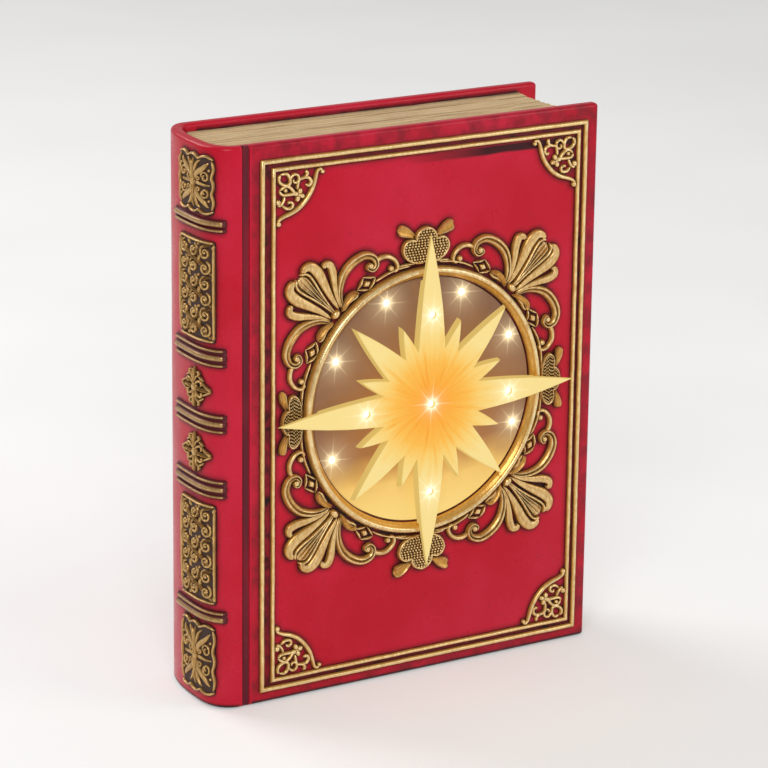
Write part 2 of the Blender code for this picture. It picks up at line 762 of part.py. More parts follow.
def add_page_block(materials, book):
    """The hollow page casting, open towards both boards."""
    pages = add_object("page_block", page_block_mesh(), materials["page_cream"], book)
    wall = PAGE_INSET_ENDS + PAGE_WALL
    low = (SPINE_X + BOARD + PAGE_SPINE_WALL, FACE_Y, wall)
    high = (FORE_X - PAGE_INSET_FORE - PAGE_FORE_HOLLOW - PAGE_WALL, BACK_Y, HEIGHT - wall)
    cut(pages, box("page_hollow", low, high))


# Window, ring, star and lights


def add_ring(materials, book):
    """The gilt ring that stands round the window."""
    profile = [
        (RING_RADIUS, RELIEF_Y),
        (RING_RADIUS, RELIEF_Y - RING_HEIGHT * RING_SHOULDER_SHARES[0]),
        (RING_RADIUS - RING_BEAD * RING_SHOULDER_SHARES[1], RELIEF_Y - RING_HEIGHT * RING_SHOULDER_SHARES[2]),
        (RING_RADIUS - RING_BEAD / 2, RELIEF_Y - RING_HEIGHT),
        (RING_RADIUS - RING_BEAD * RING_SHOULDER_SHARES[3], RELIEF_Y - RING_HEIGHT * RING_SHOULDER_SHARES[2]),
        (RING_BORE, RELIEF_Y - RING_HEIGHT * RING_SHOULDER_SHARES[4]),
        (RING_BORE, RELIEF_Y),
    ]
    mesh = turned_ring("bezel_ring", profile, "Y", RING_SEGMENTS)
    add_object("bezel_ring", mesh, materials["gilt"], book, (RING_X, 0.0, RING_Z))


def led_places():
    """Each LED's name, its offset from the ring's centre, and whether it sits in the star."""
    places = []
    for i, degrees in enumerate(LED_WINDOW_TURNS):
        turn = math.radians(degrees)
        x = LED_WINDOW_RADIUS * math.cos(turn)
        z = LED_WINDOW_RADIUS * math.sin(turn)
        places.append((f"led_window_{i + 1}", x, z, False))
    reach = LED_STAR_SHARE * RING_BORE
    places.append(("led_star_centre", 0.0, 0.0, True))
    places.append(("led_star_top", 0.0, reach, True))
    places.append(("led_star_bottom", 0.0, -reach, True))
    places.append(("led_star_right", reach, 0.0, True))
    places.append(("led_star_left", -LED_STAR_LEFT_SHARE * RING_BORE, 0.0, True))
    return places


def led_bores(only_star):
    """Round cutters for the LEDs, about the ring's centre."""
    bores = []
    for name, x, z, in_star in led_places():
        if in_star or not only_star:
            outline = circle(LED_HOLE, LED_SEGMENTS, (x, z))
            low = FACE_Y - STAR_HEIGHT - CUT_OVERRUN
            high = FACE_Y + CUT_OVERRUN
            bores.append(extruded(f"bore_{name}", outline, "Y", low, high))
    return bores


def add_window_cup(materials, book):
    """The window disc with a flange behind the board and a skirt that reaches the LED board."""
    front = FACE_Y - WINDOW_PROUD
    disc = WINDOW_OPENING - GAP
    flange_front = FRONT_INNER_Y + GAP
    flange_back = flange_front + WINDOW_SHEET
    skirt_back = FACE_Y + CUP_DEPTH
    profile = [
        (disc, front),
        (disc, flange_front),
        (WINDOW_OPENING + CUP_FLANGE, flange_front),
        (WINDOW_OPENING + CUP_FLANGE, flange_back),
        (CUP_SKIRT_RADIUS, flange_back),
        (CUP_SKIRT_RADIUS, skirt_back),
        (CUP_INNER_RADIUS, skirt_back),
        (CUP_INNER_RADIUS, front + WINDOW_SHEET),
    ]
    mesh = turned("window_cup", profile, "Y", RING_SEGMENTS)
    cup = add_object("window_cup", mesh, materials["window"], book, (RING_X, 0.0, RING_Z))
    cut(cup, *led_bores(only_star=False))


def star_outline(inset):
    """The sixteen-point star about zero, drawn in towards the centre by the inset at its valleys."""
    valley = STAR_VALLEY_SHARE * RING_BORE
    size = 1 - inset / valley
    count = 4 * len(STAR_TIP_SHARES)
    points = []
    for i in range(count):
        arm = i % len(STAR_TIP_SHARES)
        tip_turn = math.tau * i / count
        valley_turn = math.tau * (i + STAR_VALLEY_TURN_SHARES[arm]) / count
        points.append((tip_turn, STAR_TIP_SHARES[arm] * RING_BORE * size))
        points.append((valley_turn, valley * size))
    return [(r * math.cos(turn), r * math.sin(turn)) for turn, r in points]


def add_star(materials, book):
    """The raised star: it fills the ring's bore, and its long arms pass over the ring."""
    foot = FACE_Y - WINDOW_PROUD - GAP
    top = FACE_Y - STAR_HEIGHT
    sections = [
        (star_outline(0.0), foot),
        (star_outline(0.0), top + STAR_ROUND),
        (star_outline(STAR_ROUND), top),
    ]
    mesh = lofted("star_relief", sections, "Y")
    star = add_object("star_relief", mesh, materials["star"], book, (RING_X, 0.0, RING_Z))
    ring_top = RELIEF_Y - RING_HEIGHT - GAP
    inner = RING_BORE - GAP
    outer = max(STAR_TIP_SHARES) * RING_BORE + CUT_OVERRUN
    behind = FACE_Y + CUT_OVERRUN
    section = rectangle(inner, outer, ring_top, behind)
    clearance = turned_ring("over_ring", section, "Y", RING_SEGMENTS)
    cut(star, clearance, *led_bores(only_star=True))


def led_mesh(name, leg_length):
    """A domed LED that points to -Y with its tip at zero, and its two legs."""
    dome = LED_RADIUS
    profile = [
        (dome * math.sin(math.pi / 8), 0.0),
        (dome * math.sin(math.pi / 4), dome - dome * math.cos(math.pi / 4)),
        (dome, dome),
        (dome, LED_LENGTH),
    ]
    parts = [turned(f"{name}_body", profile, "Y", LED_SEGMENTS)]
    for side in (-1, 1):
        x = side * LED_LEG_PITCH / 2
        low = (x - LED_LEG / 2, LED_LENGTH - LED_RADIUS, -LED_LEG / 2)
        high = (x + LED_LEG / 2, LED_LENGTH + leg_length, LED_LEG / 2)
        parts.append(box(f"{name}_leg_{side}", low, high))
    return fused(name, parts)


def add_lights(materials, book):
    """Eleven LEDs, whose legs end at the round board behind the cup."""
    tip_of = {False: FACE_Y - WINDOW_PROUD - LED_PROUD, True: FACE_Y - STAR_HEIGHT + LED_SUNK}
    meshes = {}
    for in_star, tip in tip_of.items():
        leg = LED_BOARD_Y - GAP - (tip + LED_LENGTH)
        meshes[in_star] = led_mesh("led_long" if in_star else "led_short", leg)
    for name, x, z, in_star in led_places():
        place = (RING_X + x, tip_of[in_star], RING_Z + z)
        add_object(name, meshes[in_star], materials["led_lens"], book, place)
    profile = circle(CUP_SKIRT_RADIUS, RING_SEGMENTS, (RING_X, RING_Z))
    board = extruded("led_board", profile, "Y", LED_BOARD_Y, LED_BOARD_BACK_Y)
    add_object("led_board", board, materials["circuit"], book)


# Gilt work of the front


def frame_line_mesh(name, left, right, low, top, width):
    """A rectangular bead about a closed run, low at its edges and high in the middle."""
    section = [
        (0.0, 0.0),
        (width * LINE_SECTION_SHARE, LINE_HEIGHT),
        (width * (1 - LINE_SECTION_SHARE), LINE_HEIGHT),
        (width, 0.0),
    ]
    bm = bmesh.new()
    loops = []
    for inset, rise in section:
        corners = rectangle(left + inset, right - inset, low + inset, top - inset)
        loops.append([bm.verts.new((x, RELIEF_Y - rise, z)) for x, z in corners])
    for start, end in zip(loops, loops[1:] + loops[:1]):
        for i in range(len(start)):
            j = (i + 1) % len(start)
            bm.faces.new((start[i], start[j], end[j], end[i]))
    return finished(name, bm)


def add_frame_lines(materials, book):
    """The outer and the inner gilt line."""
    outer = frame_line_mesh("frame_line_outer", FRAME_LEFT, FRAME_RIGHT, FRAME_FOOT, FRAME_TOP, LINE_WIDTH)
    add_object("frame_line_outer", outer, materials["gilt"], book)
    inner = frame_line_mesh(
        "frame_line_inner",
        INNER_LEFT - INNER_LINE_WIDTH,
        INNER_RIGHT + INNER_LINE_WIDTH,
        INNER_FOOT - INNER_LINE_WIDTH,
        INNER_TOP + INNER_LINE_WIDTH,
        INNER_LINE_WIDTH,
    )
    add_object("frame_line_inner", inner, materials["gilt"], book)


def add_front_reliefs(materials, book):
    """Four palmettes and four crests about the ring, and four corner pieces in the frame."""
    palmette = palmette_mesh()
    corner = corner_mesh()
    centre = (RING_X, RELIEF_Y, RING_Z)
    for vertical, z_side in (("top", 1), ("bottom", -1)):
        for horizontal, x_side in (("left", -1), ("right", 1)):
            place = f"{vertical}_{horizontal}"
            add_object(f"palmette_{place}", palmette, materials["gilt"], book, centre, (x_side, 1, z_side))
            x = INNER_LEFT + GAP if x_side < 0 else INNER_RIGHT - GAP
            z = INNER_FOOT + GAP if z_side < 0 else INNER_TOP - GAP
            spot = (x, RELIEF_Y, z)
            add_object(f"corner_scroll_{place}", corner, materials["gilt"], book, spot, (-x_side, 1, -z_side))
    crests = (crest_mesh("crest", 1.0), crest_mesh("crest_side", CREST_SIDE_SHARE))
    for i, (name, degrees) in enumerate((("top", 0), ("right", 90), ("bottom", 180), ("left", 270))):
        obj = add_object(f"crest_{name}", crests[i % 2], materials["gilt"], book, centre)
        obj.rotation_euler = (0.0, math.radians(degrees), 0.0)


# Gilt work of the spine

# Along one ridge's pitch, and up its height
BAND_SECTION_SHARES = ((0.0, 0.0), (0.22, 0.75), (0.5, 1.0), (0.78, 0.75))

# Heights on the spine as shares of HEIGHT
PANEL_HEIGHT_SHARES = (
    ("spine_panel_1", 0.881, 0.985, True),
    ("spine_panel_2", 0.660, 0.837, False),
    ("spine_panel_3", 0.190, 0.371, False),
    ("spine_panel_4", 0.019, 0.151, True),
)
ROSETTE_HEIGHT_SHARES = (("spine_rosette_1", 0.574), ("spine_rosette_2", 0.458))
BAND_HEIGHT_SHARES = (
    ("spine_band_1", 0.865, 2),
    ("spine_band_2", 0.635, 3),
    ("spine_band_3", 0.518, 3),
    ("spine_band_4", 0.401, 3),
    ("spine_band_5", 0.168, 2),
)
PANEL_WAVES = 3
ROSETTE_END_SHARE = 0.12


def spine_path():
    """Points round the spine's surface with their distance from the crown, negative towards the front."""
    points = [Vector(p) for p in spine_profile(0.0)]
    crown = SPINE_STEPS
    along = [0.0] * len(points)
    for i in range(crown + 1, len(points)):
        along[i] = along[i - 1] + (points[i] - points[i - 1]).length
    for i in range(crown - 1, -1, -1):
        along[i] = along[i + 1] - (points[i + 1] - points[i]).length
    return list(zip(along, points))


def on_spine(path, distance, lift):
    """The point at a distance round the spine from the crown, lifted off the surface."""
    for (start, a), (end, b) in zip(path, path[1:]):
        if distance <= end:
            break
    share = (distance - start) / (end - start)
    here = a.lerp(b, share)
    ahead = surface_direction(path, distance)
    outward = Vector((-ahead.y, ahead.x))
    if outward.x > 0:
        outward.negate()
    return here + outward * lift


def surface_direction(path, distance):
    """The direction along the surface, blended between the straight pieces of the outline."""
    middles = []
    for (start, a), (end, b) in zip(path, path[1:]):
        middles.append(((start + end) / 2, (b - a).normalized()))
    if distance <= middles[0][0]:
        return middles[0][1]
    for (low, first), (high, second) in zip(middles, middles[1:]):
        if distance <= high:
            return first.lerp(second, (distance - low) / (high - low)).normalized()
    return middles[-1][1]


def spine_plate(name, path, start, end, low_of, high_of):
    """A plate that follows the spine from start to end, with its lower and upper edge as functions."""
    bm = bmesh.new()
    stations = []
    for i in range(SPINE_STATIONS + 1):
        share = i / SPINE_STATIONS
        distance = start + share * (end - start)
        foot = on_spine(path, distance, GAP)
        top = on_spine(path, distance, GAP + PANEL_THICK)
        low, high = low_of(share), high_of(share)
        corners = [(foot, low), (top, low), (top, high), (foot, high)]
        stations.append([bm.verts.new((p.x, p.y, z)) for p, z in corners])
    return closed_run(name, bm, stations)


def closed_run(name, bm, stations):
    """The mesh of a section carried from station to station, with its two ends closed."""
    for here, after in zip(stations, stations[1:]):
        for i in range(len(here)):
            j = (i + 1) % len(here)
            bm.faces.new((here[i], here[j], after[j], after[i]))
    bm.faces.new(stations[0])
    bm.faces.new(stations[-1])
    return finished(name, bm)


def spine_band(name, path, ridges):
    """A raised band of parallel ridges about z = 0."""
    section = []
    total = ridges * BAND_PITCH
    for i in range(ridges):
        start = -total / 2 + i * BAND_PITCH
        for share, rise in BAND_SECTION_SHARES:
            section.append((start + share * BAND_PITCH, BAND_WEB + rise * BAND_RIDGE))
    section = [(-total / 2, 0.0), *section, (total / 2, BAND_WEB), (total / 2, 0.0)]
    bm = bmesh.new()
    stations = []
    for i in range(SPINE_STATIONS + 1):
        distance = -BAND_FRONT + i / SPINE_STATIONS * (BAND_FRONT + BAND_REAR)
        fade = min(1.0, (i + 1) / 2, (SPINE_STATIONS - i + 1) / 2)
        spots = []
        for z, rise in section:
            lift = GAP + (rise if rise <= BAND_WEB else BAND_WEB + (rise - BAND_WEB) * fade)
            p = on_spine(path, distance, min(lift, GAP + PANEL_THICK))
            spots.append(bm.verts.new((p.x, p.y, z)))
        stations.append(spots)
    return closed_run(name, bm, stations)


def scallop(share):
    """How far a scalloped edge draws in at a share of its length."""
    return PANEL_SCALLOP * abs(math.sin(math.pi * PANEL_WAVES * share))


def diamond(share):
    """Half the height of a rosette at a share of its width."""
    return ROSETTE_HALF_HEIGHT * (ROSETTE_END_SHARE + (1 - ROSETTE_END_SHARE) * (1 - abs(2 * share - 1)))


def add_spine_work(materials, book):
    """Four panels, two rosettes and five bands."""
    path = spine_path()
    for name, low_share, high_share, wavy in PANEL_HEIGHT_SHARES:
        low, high = low_share * HEIGHT, high_share * HEIGHT
        waved = 1 if wavy else 0
        mesh = spine_plate(
            name,
            path,
            -PANEL_HALF_WIDTH,
            PANEL_HALF_WIDTH,
            lambda s, base=low, w=waved: base + w * (PANEL_SCALLOP - scallop(s)),
            lambda s, base=high, w=waved: base - w * (PANEL_SCALLOP - scallop(s)),
        )
        add_object(name, mesh, materials["gilt"], book)
    rosette = spine_plate(
        "spine_rosette", path, -ROSETTE_HALF_WIDTH, ROSETTE_HALF_WIDTH, lambda s: -diamond(s), diamond
    )
    for name, share in ROSETTE_HEIGHT_SHARES:
        add_object(name, rosette, materials["gilt"], book, (0.0, 0.0, share * HEIGHT))
    bands = {count: spine_band(f"band_{count}", path, count) for count in (2, 3)}
    for name, share, ridges in BAND_HEIGHT_SHARES:
        add_object(name, bands[ridges], materials["gilt"], book, (0.0, 0.0, share * HEIGHT))


# Battery compartment


def cell_x(index):
    """The centre of a cell across the tray."""
    return BAY_X + (index - (CELL_COUNT - 1) / 2) * CELL_PITCH


def add_tray(materials, book):
    """The tray: a box behind the back board with a flange, hinge ears, ribs and tag slots."""
    half = TRAY_INNER_WIDTH / 2
    outer = half + TRAY_WALL
    low, top = TRAY_LOW - TRAY_WALL, TRAY_TOP + TRAY_WALL
    body = box("tray_body", (BAY_X - outer, TRAY_FLOOR_Y - TRAY_WALL, low), (BAY_X + outer, FLANGE_Y, top))
    tray = add_object("battery_tray", body, materials["plastic"], book)
    rim = BAY_WIDTH / 2 + TRAY_FLANGE
    flange = box(
        "tray_flange",
        (BAY_X - rim, FLANGE_Y - TRAY_WALL, BAY_LOW - TRAY_FLANGE),
        (BAY_X + rim, FLANGE_Y, BAY_TOP + TRAY_FLANGE),
    )
    join(tray, flange)
    pocket = box("tray_pocket", (BAY_X - half, TRAY_FLOOR_Y, TRAY_LOW), (BAY_X + half, BACK_Y, TRAY_TOP))
    cut(tray, pocket)
    for i in range(CELL_COUNT - 1):
        x = (cell_x(i) + cell_x(i + 1)) / 2
        join(
            tray,
            box(
                f"rib_{i}",
                (x - TRAY_RIB / 2, TRAY_FLOOR_Y - TRAY_WALL / 2, TRAY_LOW + CONTACT_PLATE + SPRING_ROOM),
                (x + TRAY_RIB / 2, TRAY_FLOOR_Y + TRAY_RIB_HEIGHT, TRAY_TOP - CONTACT_PLATE - SPRING_ROOM),
            ),
        )
    add_ears(tray)
    cut(tray, *tag_slots(), catch_slot())


def add_ears(tray):
    """Two ears that stand into the opening's upper corners and hold the hinge pin."""
    inner = BAY_WIDTH / 2 - GAP - DOOR_EAR
    for side in (-1, 1):
        near, far = sorted((BAY_X + side * inner, BAY_X + side * (inner + DOOR_EAR)))
        stem_low = (near, FLANGE_Y - TRAY_WALL / 2, HINGE_Z - DOOR_EAR_RADIUS)
        stem_high = (far, HINGE_Y, HINGE_Z + DOOR_EAR_RADIUS)
        eye = circle(DOOR_EAR_RADIUS, DOOR_SEGMENTS, (HINGE_Y, HINGE_Z))
        stem = box(f"ear_stem_{side}", stem_low, stem_high)
        join(tray, fused(f"ear_{side}", [stem, extruded(f"ear_eye_{side}", eye, "X", near, far)]))
    bore = circle(DOOR_PIN_RADIUS + DOOR_PIN_PLAY, DOOR_SEGMENTS, (HINGE_Y, HINGE_Z))
    reach = BAY_WIDTH / 2 + CUT_OVERRUN
    cut(tray, extruded("pin_bore", bore, "X", BAY_X - reach, BAY_X + reach))


def tag_box(name, x, end, room=0.0):
    """The tag of a contact, up through the tray to the timer board (1), or down to a lead (-1)."""
    if end > 0:
        low = TRAY_TOP - GAP - CONTACT_PLATE / 2
        high = SWITCH_Z - TIMER_HEIGHT / 2 + TAG_LAP
    else:
        low = TRAY_LOW - TRAY_WALL - TAG_REACH
        high = TRAY_LOW + GAP + CONTACT_PLATE / 2
    return box(
        name,
        (x - TAG_WIDTH / 2 - room, CELL_Y - CONTACT_PLATE / 2 - room, low - room),
        (x + TAG_WIDTH / 2 + room, CELL_Y + CONTACT_PLATE / 2 + room, high + room),
    )


def tag_slots():
    """The tray's two slots for solder tags."""
    return [tag_box("plus_slot", cell_x(0), 1, GAP), tag_box("minus_slot", cell_x(2), -1, GAP)]


def catch_slot():
    """The recess in the flange's lower side that the door's tongue snaps into."""
    half = TONGUE_WIDTH / 2 + GAP
    nose_low = BAY_LOW + GAP - TONGUE_NOSE - GAP
    return box(
        "catch",
        (BAY_X - half, FLANGE_Y - TRAY_WALL - CUT_OVERRUN, nose_low),
        (BAY_X + half, BACK_INNER_Y + GAP, TRAY_LOW - TRAY_WALL - GAP),
    )


def contact_mesh(name, cells, end, tag_cell):
    """A flat contact against the tray's end wall that spans the cells, with a tag if one is named."""
    wall = TRAY_TOP - GAP if end > 0 else TRAY_LOW + GAP
    low, high = sorted((wall, wall - end * CONTACT_PLATE))
    xs = [cell_x(i) for i in cells]
    half = CONTACT_WIDTH / 2
    plate = box(
        f"{name}_plate",
        (min(xs) - half, CELL_Y - half, low),
        (max(xs) + half, CELL_Y + half, high),
    )
    if tag_cell is None:
        return plate
    return fused(name, [plate, tag_box(f"{name}_tag", cell_x(tag_cell), end)])


def add_contacts(materials, book):
    """The two single and the two paired contacts, and a spring at each cell's flat end."""
    for name, cells, end, tag_cell in (
        ("contact_top_single", (0,), 1, 0),
        ("contact_top_pair", (1, 2), 1, None),
        ("contact_bottom_pair", (0, 1), -1, None),
        ("contact_bottom_single", (2,), -1, 2),
    ):
        add_object(name, contact_mesh(name, cells, end, tag_cell), materials["steel"], book)
    for index, end in ((0, -1), (1, 1), (2, -1)):
        base = TRAY_TOP if end > 0 else TRAY_LOW
        start = base - end * (2 * GAP + CONTACT_PLATE + SPRING_WIRE)
        finish = base - end * (CONTACT_PLATE + SPRING_ROOM - 3 * GAP - SPRING_WIRE)
        steps = SPRING_TURNS * SPRING_POINTS
        points = []
        for i in range(steps + 1):
            share = i / steps
            radius = SPRING_WIDE + share * (SPRING_NARROW - SPRING_WIDE)
            turn = math.tau * SPRING_TURNS * share
            points.append(
                (
                    cell_x(index) + radius * math.cos(turn),
                    CELL_Y + radius * math.sin(turn),
                    start + share * (finish - start),
                )
            )
        add_tube(f"cell_spring_{index + 1}", points, SPRING_WIRE, materials["steel"], book)


def cell_mesh():
    """A cell that stands on its flat end at zero with its nub up."""
    shoulder = CELL_RADIUS - CELL_NUB
    profile = [
        (CELL_RADIUS, 0.0),
        (CELL_RADIUS, CELL_LENGTH - CELL_NUB / 2),
        (shoulder, CELL_LENGTH),
        (CELL_NUB_RADIUS, CELL_LENGTH),
        (CELL_NUB_RADIUS, CELL_LENGTH + CELL_NUB),
    ]
    return turned("battery_cell", profile, "Z", CELL_SEGMENTS)


def add_cells(materials, book):
    """Three cells side by side, the middle one upside down."""
    mesh = cell_mesh()
    for i in range(CELL_COUNT):
        nub_up = i % 2 == 0
        if nub_up:
            z = TRAY_TOP - CONTACT_PLATE - 2 * GAP - CELL_LENGTH - CELL_NUB
        else:
            z = TRAY_LOW + CONTACT_PLATE + 2 * GAP + CELL_LENGTH + CELL_NUB
        cell = add_object(f"battery_cell_{i + 1}", mesh, materials["cell"], book, (cell_x(i), CELL_Y, z))
        cell.rotation_euler = (0.0 if nub_up else math.pi, 0.0, 0.0)


# Battery door


def door_mesh():
    """The lid about its hinge axis: plate, barrel between the ears, and snap tongue."""
    half = BAY_WIDTH / 2 - GAP
    foot = BAY_LOW + GAP - HINGE_Z
    back = BACK_Y - HINGE_Y
    ear_room = DOOR_EAR + GAP
    neck = -(DOOR_EAR_RADIUS + GAP)
    plate = box("door_plate", (-half, back - DOOR_PLATE, foot), (half, back, neck))
    middle = half - ear_room
    bridge = box("door_bridge", (-middle, back - DOOR_PLATE + DOOR_STEP, neck - GAP), (middle, back, 0.0))
    barrel = extruded("door_barrel", circle(DOOR_BARREL, DOOR_SEGMENTS), "X", -middle + GAP, middle - GAP)
    tongue_low = foot + DOOR_STEP
    tongue = box(
        "door_tongue",
        (-TONGUE_WIDTH / 2, back - DOOR_PLATE - TONGUE_REACH, tongue_low),
        (TONGUE_WIDTH / 2, back - DOOR_PLATE / 2, tongue_low + TONGUE_THICK),
    )
    nose_y = back - DOOR_PLATE - TONGUE_REACH + DOOR_STEP
    nose = box(
        "door_nose",
        (-TONGUE_WIDTH / 2 + GAP, nose_y, foot - TONGUE_NOSE),
        (TONGUE_WIDTH / 2 - GAP, nose_y + TONGUE_NOSE_LENGTH, foot + TONGUE_THICK / 2),
    )
    return fused("battery_door", [plate, bridge, barrel, tongue, nose])


def add_door(materials):
    """The battery door on its hinge, and the pin that it turns on."""
    hinge = make_empty("door_hinge", (BAY_X, HINGE_Y, HINGE_Z))
    door = add_object("battery_door", door_mesh(), materials["plastic"], hinge)
    bore = circle(DOOR_PIN_RADIUS + DOOR_PIN_PLAY, DOOR_SEGMENTS)
    cut(door, extruded("door_bore", bore, "X", -BAY_WIDTH, BAY_WIDTH))
    reach = BAY_WIDTH / 2 - 2 * GAP
    pin = extruded("door_hinge_pin", circle(DOOR_PIN_RADIUS, DOOR_SEGMENTS), "X", -reach, reach)
    add_object("door_hinge_pin", pin, materials["steel"], hinge)


# Switch, timer board and leads


def add_switch(materials, book):
    """The switch body behind its slot, the timer board that it is soldered to, and the knob."""
    half_width = SWITCH_BODY_WIDTH / 2
    half_height = SWITCH_BODY_HEIGHT / 2
    body = box(
        "switch_housing",
        (BAY_X - half_width, SWITCH_FRONT_Y, SWITCH_Z - half_height),
        (BAY_X + half_width, FLANGE_Y, SWITCH_Z + half_height),
    )
    housing = add_object("switch_housing", body, materials["steel"], book)
    pocket_half = (KNOB_WIDTH + SWITCH_TRAVEL) / 2 + GAP
    pocket_floor = FLANGE_Y - SWITCH_POCKET
    slot_half = KNOB_HEIGHT / 2 + GAP
    pocket = box(
        "switch_pocket",
        (BAY_X - pocket_half, pocket_floor, SWITCH_Z - slot_half),
        (BAY_X + pocket_half, BACK_Y, SWITCH_Z + slot_half),
    )
    cut(housing, pocket)
    slide = make_empty("switch_slide", (BAY_X - SWITCH_TRAVEL / 2, pocket_floor + GAP, SWITCH_Z))
    knob_depth = BACK_Y - KNOB_SUNK - (pocket_floor + GAP)
    outline = [(-KNOB_WIDTH / 2, 0.0), (KNOB_WIDTH / 2, 0.0)]
    tooth = KNOB_WIDTH / (2 * KNOB_TEETH - 1)
    for i in range(2 * KNOB_TEETH - 1):
        right = KNOB_WIDTH / 2 - i * tooth
        level = knob_depth if i % 2 == 0 else knob_depth - KNOB_TOOTH
        outline += [(right, level), (right - tooth, level)]
    knob = extruded("switch_knob", outline, "Z", -KNOB_HEIGHT / 2, KNOB_HEIGHT / 2)
    add_object("switch_knob", knob, materials["plastic"], slide)
    board = box(
        "timer_board",
        (BAY_X - TIMER_WIDTH / 2, TIMER_Y - BOARD_SHEET, SWITCH_Z - TIMER_HEIGHT / 2),
        (BAY_X + TIMER_WIDTH / 2, TIMER_Y, SWITCH_Z + TIMER_HEIGHT / 2),
    )
    add_object("timer_board", board, materials["circuit"], book)


def add_leads(materials, book):
    """The lead from the lower solder tag to the timer board, and the one on to the LED board."""
    radius = LEAD_DIAMETER / 2
    x = cell_x(2)
    tag_end = TRAY_LOW - TRAY_WALL - TAG_REACH
    timer_front = TIMER_Y - BOARD_SHEET
    tray_front = TRAY_FLOOR_Y - TRAY_WALL
    run_y = tray_front - LEAD_DIAMETER
    board_low = SWITCH_Z - TIMER_HEIGHT / 2
    board_end = Vector((x, timer_front - GAP, board_low + LEAD_DIAMETER))
    points = [
        Vector((x, CELL_Y, tag_end - GAP)),
        Vector((x, CELL_Y, tag_end - LEAD_DIAMETER)),
        Vector((x, (CELL_Y + run_y) / 2, tag_end - 2 * LEAD_DIAMETER)),
        Vector((x, run_y, tag_end)),
        Vector((x, run_y, TRAY_LOW)),
        Vector((x, run_y, BAY_CENTRE_HEIGHT)),
        Vector((x, run_y, TRAY_TOP)),
        Vector((x, (run_y + timer_front) / 2 - LEAD_DIAMETER, board_low)),
        board_end - Vector((0.0, LEAD_DIAMETER, 0.0)),
        board_end,
    ]
    path = smooth_path(points, LEAD_STEPS)
    add_tube("battery_lead", path, radius, materials["wire"], book)
    x = BAY_X - TIMER_WIDTH / 4
    start = Vector((x, timer_front - GAP, SWITCH_Z))
    end = Vector((x, LED_BOARD_BACK_Y + GAP, SWITCH_Z - TIMER_HEIGHT / 2))
    reach = Vector((0.0, LEAD_DIAMETER, 0.0))
    points = [start, start - reach, (start + end) / 2, end + reach, end]
    add_tube("led_lead", smooth_path(points, LEAD_STEPS), radius, materials["wire"], book)


def build():
    """Builds the whole lamp."""
    clear_scene()
    materials = make_materials()
    book = make_empty("book")
    add_cover(materials, book)
    add_page_block(materials, book)
    add_window_cup(materials, book)
    add_ring(materials, book)
    add_star(materials, book)
    add_lights(materials, book)
    add_frame_lines(materials, book)
    add_front_reliefs(materials, book)
    add_spine_work(materials, book)
    add_tray(materials, book)
    add_contacts(materials, book)
    add_cells(materials, book)
    add_door(materials)
    add_switch(materials, book)
    add_leads(materials, book)


build()
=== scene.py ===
"""Dresses the book lamp: a red cast-resin book with gilt relief, a lit round window and a raised star.

Metres, +Z up. +X runs from the spine to the fore edge, and the front cover faces -Y.
"""

from __future__ import annotations

import logging
import math
import random
from dataclasses import dataclass, field
from enum import Enum
from functools import partial
from typing import Callable, Iterable, Sequence

import bmesh
import bpy
from mathutils import Matrix, Vector, noise


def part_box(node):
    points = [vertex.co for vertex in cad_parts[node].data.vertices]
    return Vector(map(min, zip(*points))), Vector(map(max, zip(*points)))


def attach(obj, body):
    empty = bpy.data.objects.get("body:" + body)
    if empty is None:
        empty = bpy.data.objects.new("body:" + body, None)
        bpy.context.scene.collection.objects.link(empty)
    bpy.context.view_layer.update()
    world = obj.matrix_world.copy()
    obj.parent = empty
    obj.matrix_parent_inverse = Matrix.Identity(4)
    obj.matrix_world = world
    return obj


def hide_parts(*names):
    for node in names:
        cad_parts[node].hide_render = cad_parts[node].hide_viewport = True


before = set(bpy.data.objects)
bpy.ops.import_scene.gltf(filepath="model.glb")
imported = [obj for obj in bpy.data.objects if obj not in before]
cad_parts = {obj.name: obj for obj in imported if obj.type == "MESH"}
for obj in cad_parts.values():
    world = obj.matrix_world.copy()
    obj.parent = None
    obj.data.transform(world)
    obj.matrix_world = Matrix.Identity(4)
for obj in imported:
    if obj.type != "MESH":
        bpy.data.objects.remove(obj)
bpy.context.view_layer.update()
LOG = logging.getLogger("book_lamp")

MM = 0.001
BODY_BOOK = "book"
BODY_DOOR = "battery_door"
BODY_KNOB = "switch_knob"
# The meshes' own record of how high each point stands, read by the gilt finish
HEIGHT_NAME = "relief_height"
# The photograph's reliefs were measured in shares of this unit
UNIT = 1.07073 * MM

Point = tuple[float, float]
Triple = tuple[float, float, float]
Surface = Callable[[float, float, float], Vector]
Mesh = bpy.types.Mesh
Material = bpy.types.Material
Socket = bpy.types.NodeSocket


class Section(Enum):
    """The cross-section of a relief stroke: (place across, height) pairs, each as a share."""

    RIDGE = (
        (-1.0, 0.0), (-0.9, 0.45), (-0.6, 0.82), (-0.2, 0.98), (0.2, 0.98), (0.6, 0.82), (0.9, 0.45),
        (1.0, 0.0),
    )
    CHANNEL = (
        (-1.0, 0.0), (-0.95, 0.7), (-0.78, 1.0), (-0.55, 0.7), (0.0, 0.52), (0.55, 0.7), (0.78, 1.0),
        (0.95, 0.7), (1.0, 0.0),
    )
    DOUBLE = (
        (-1.0, 0.0), (-0.92, 0.6), (-0.62, 0.95), (-0.3, 0.92), (-0.12, 0.5), (0.06, 0.55), (0.35, 0.98),
        (0.7, 0.8), (0.93, 0.45), (1.0, 0.0),
    )
    PETAL = (
        (-1.0, 0.0), (-0.96, 0.55), (-0.8, 0.86), (-0.35, 0.96), (0.1, 0.84), (0.5, 0.9), (0.82, 0.78),
        (0.96, 0.5), (1.0, 0.0),
    )


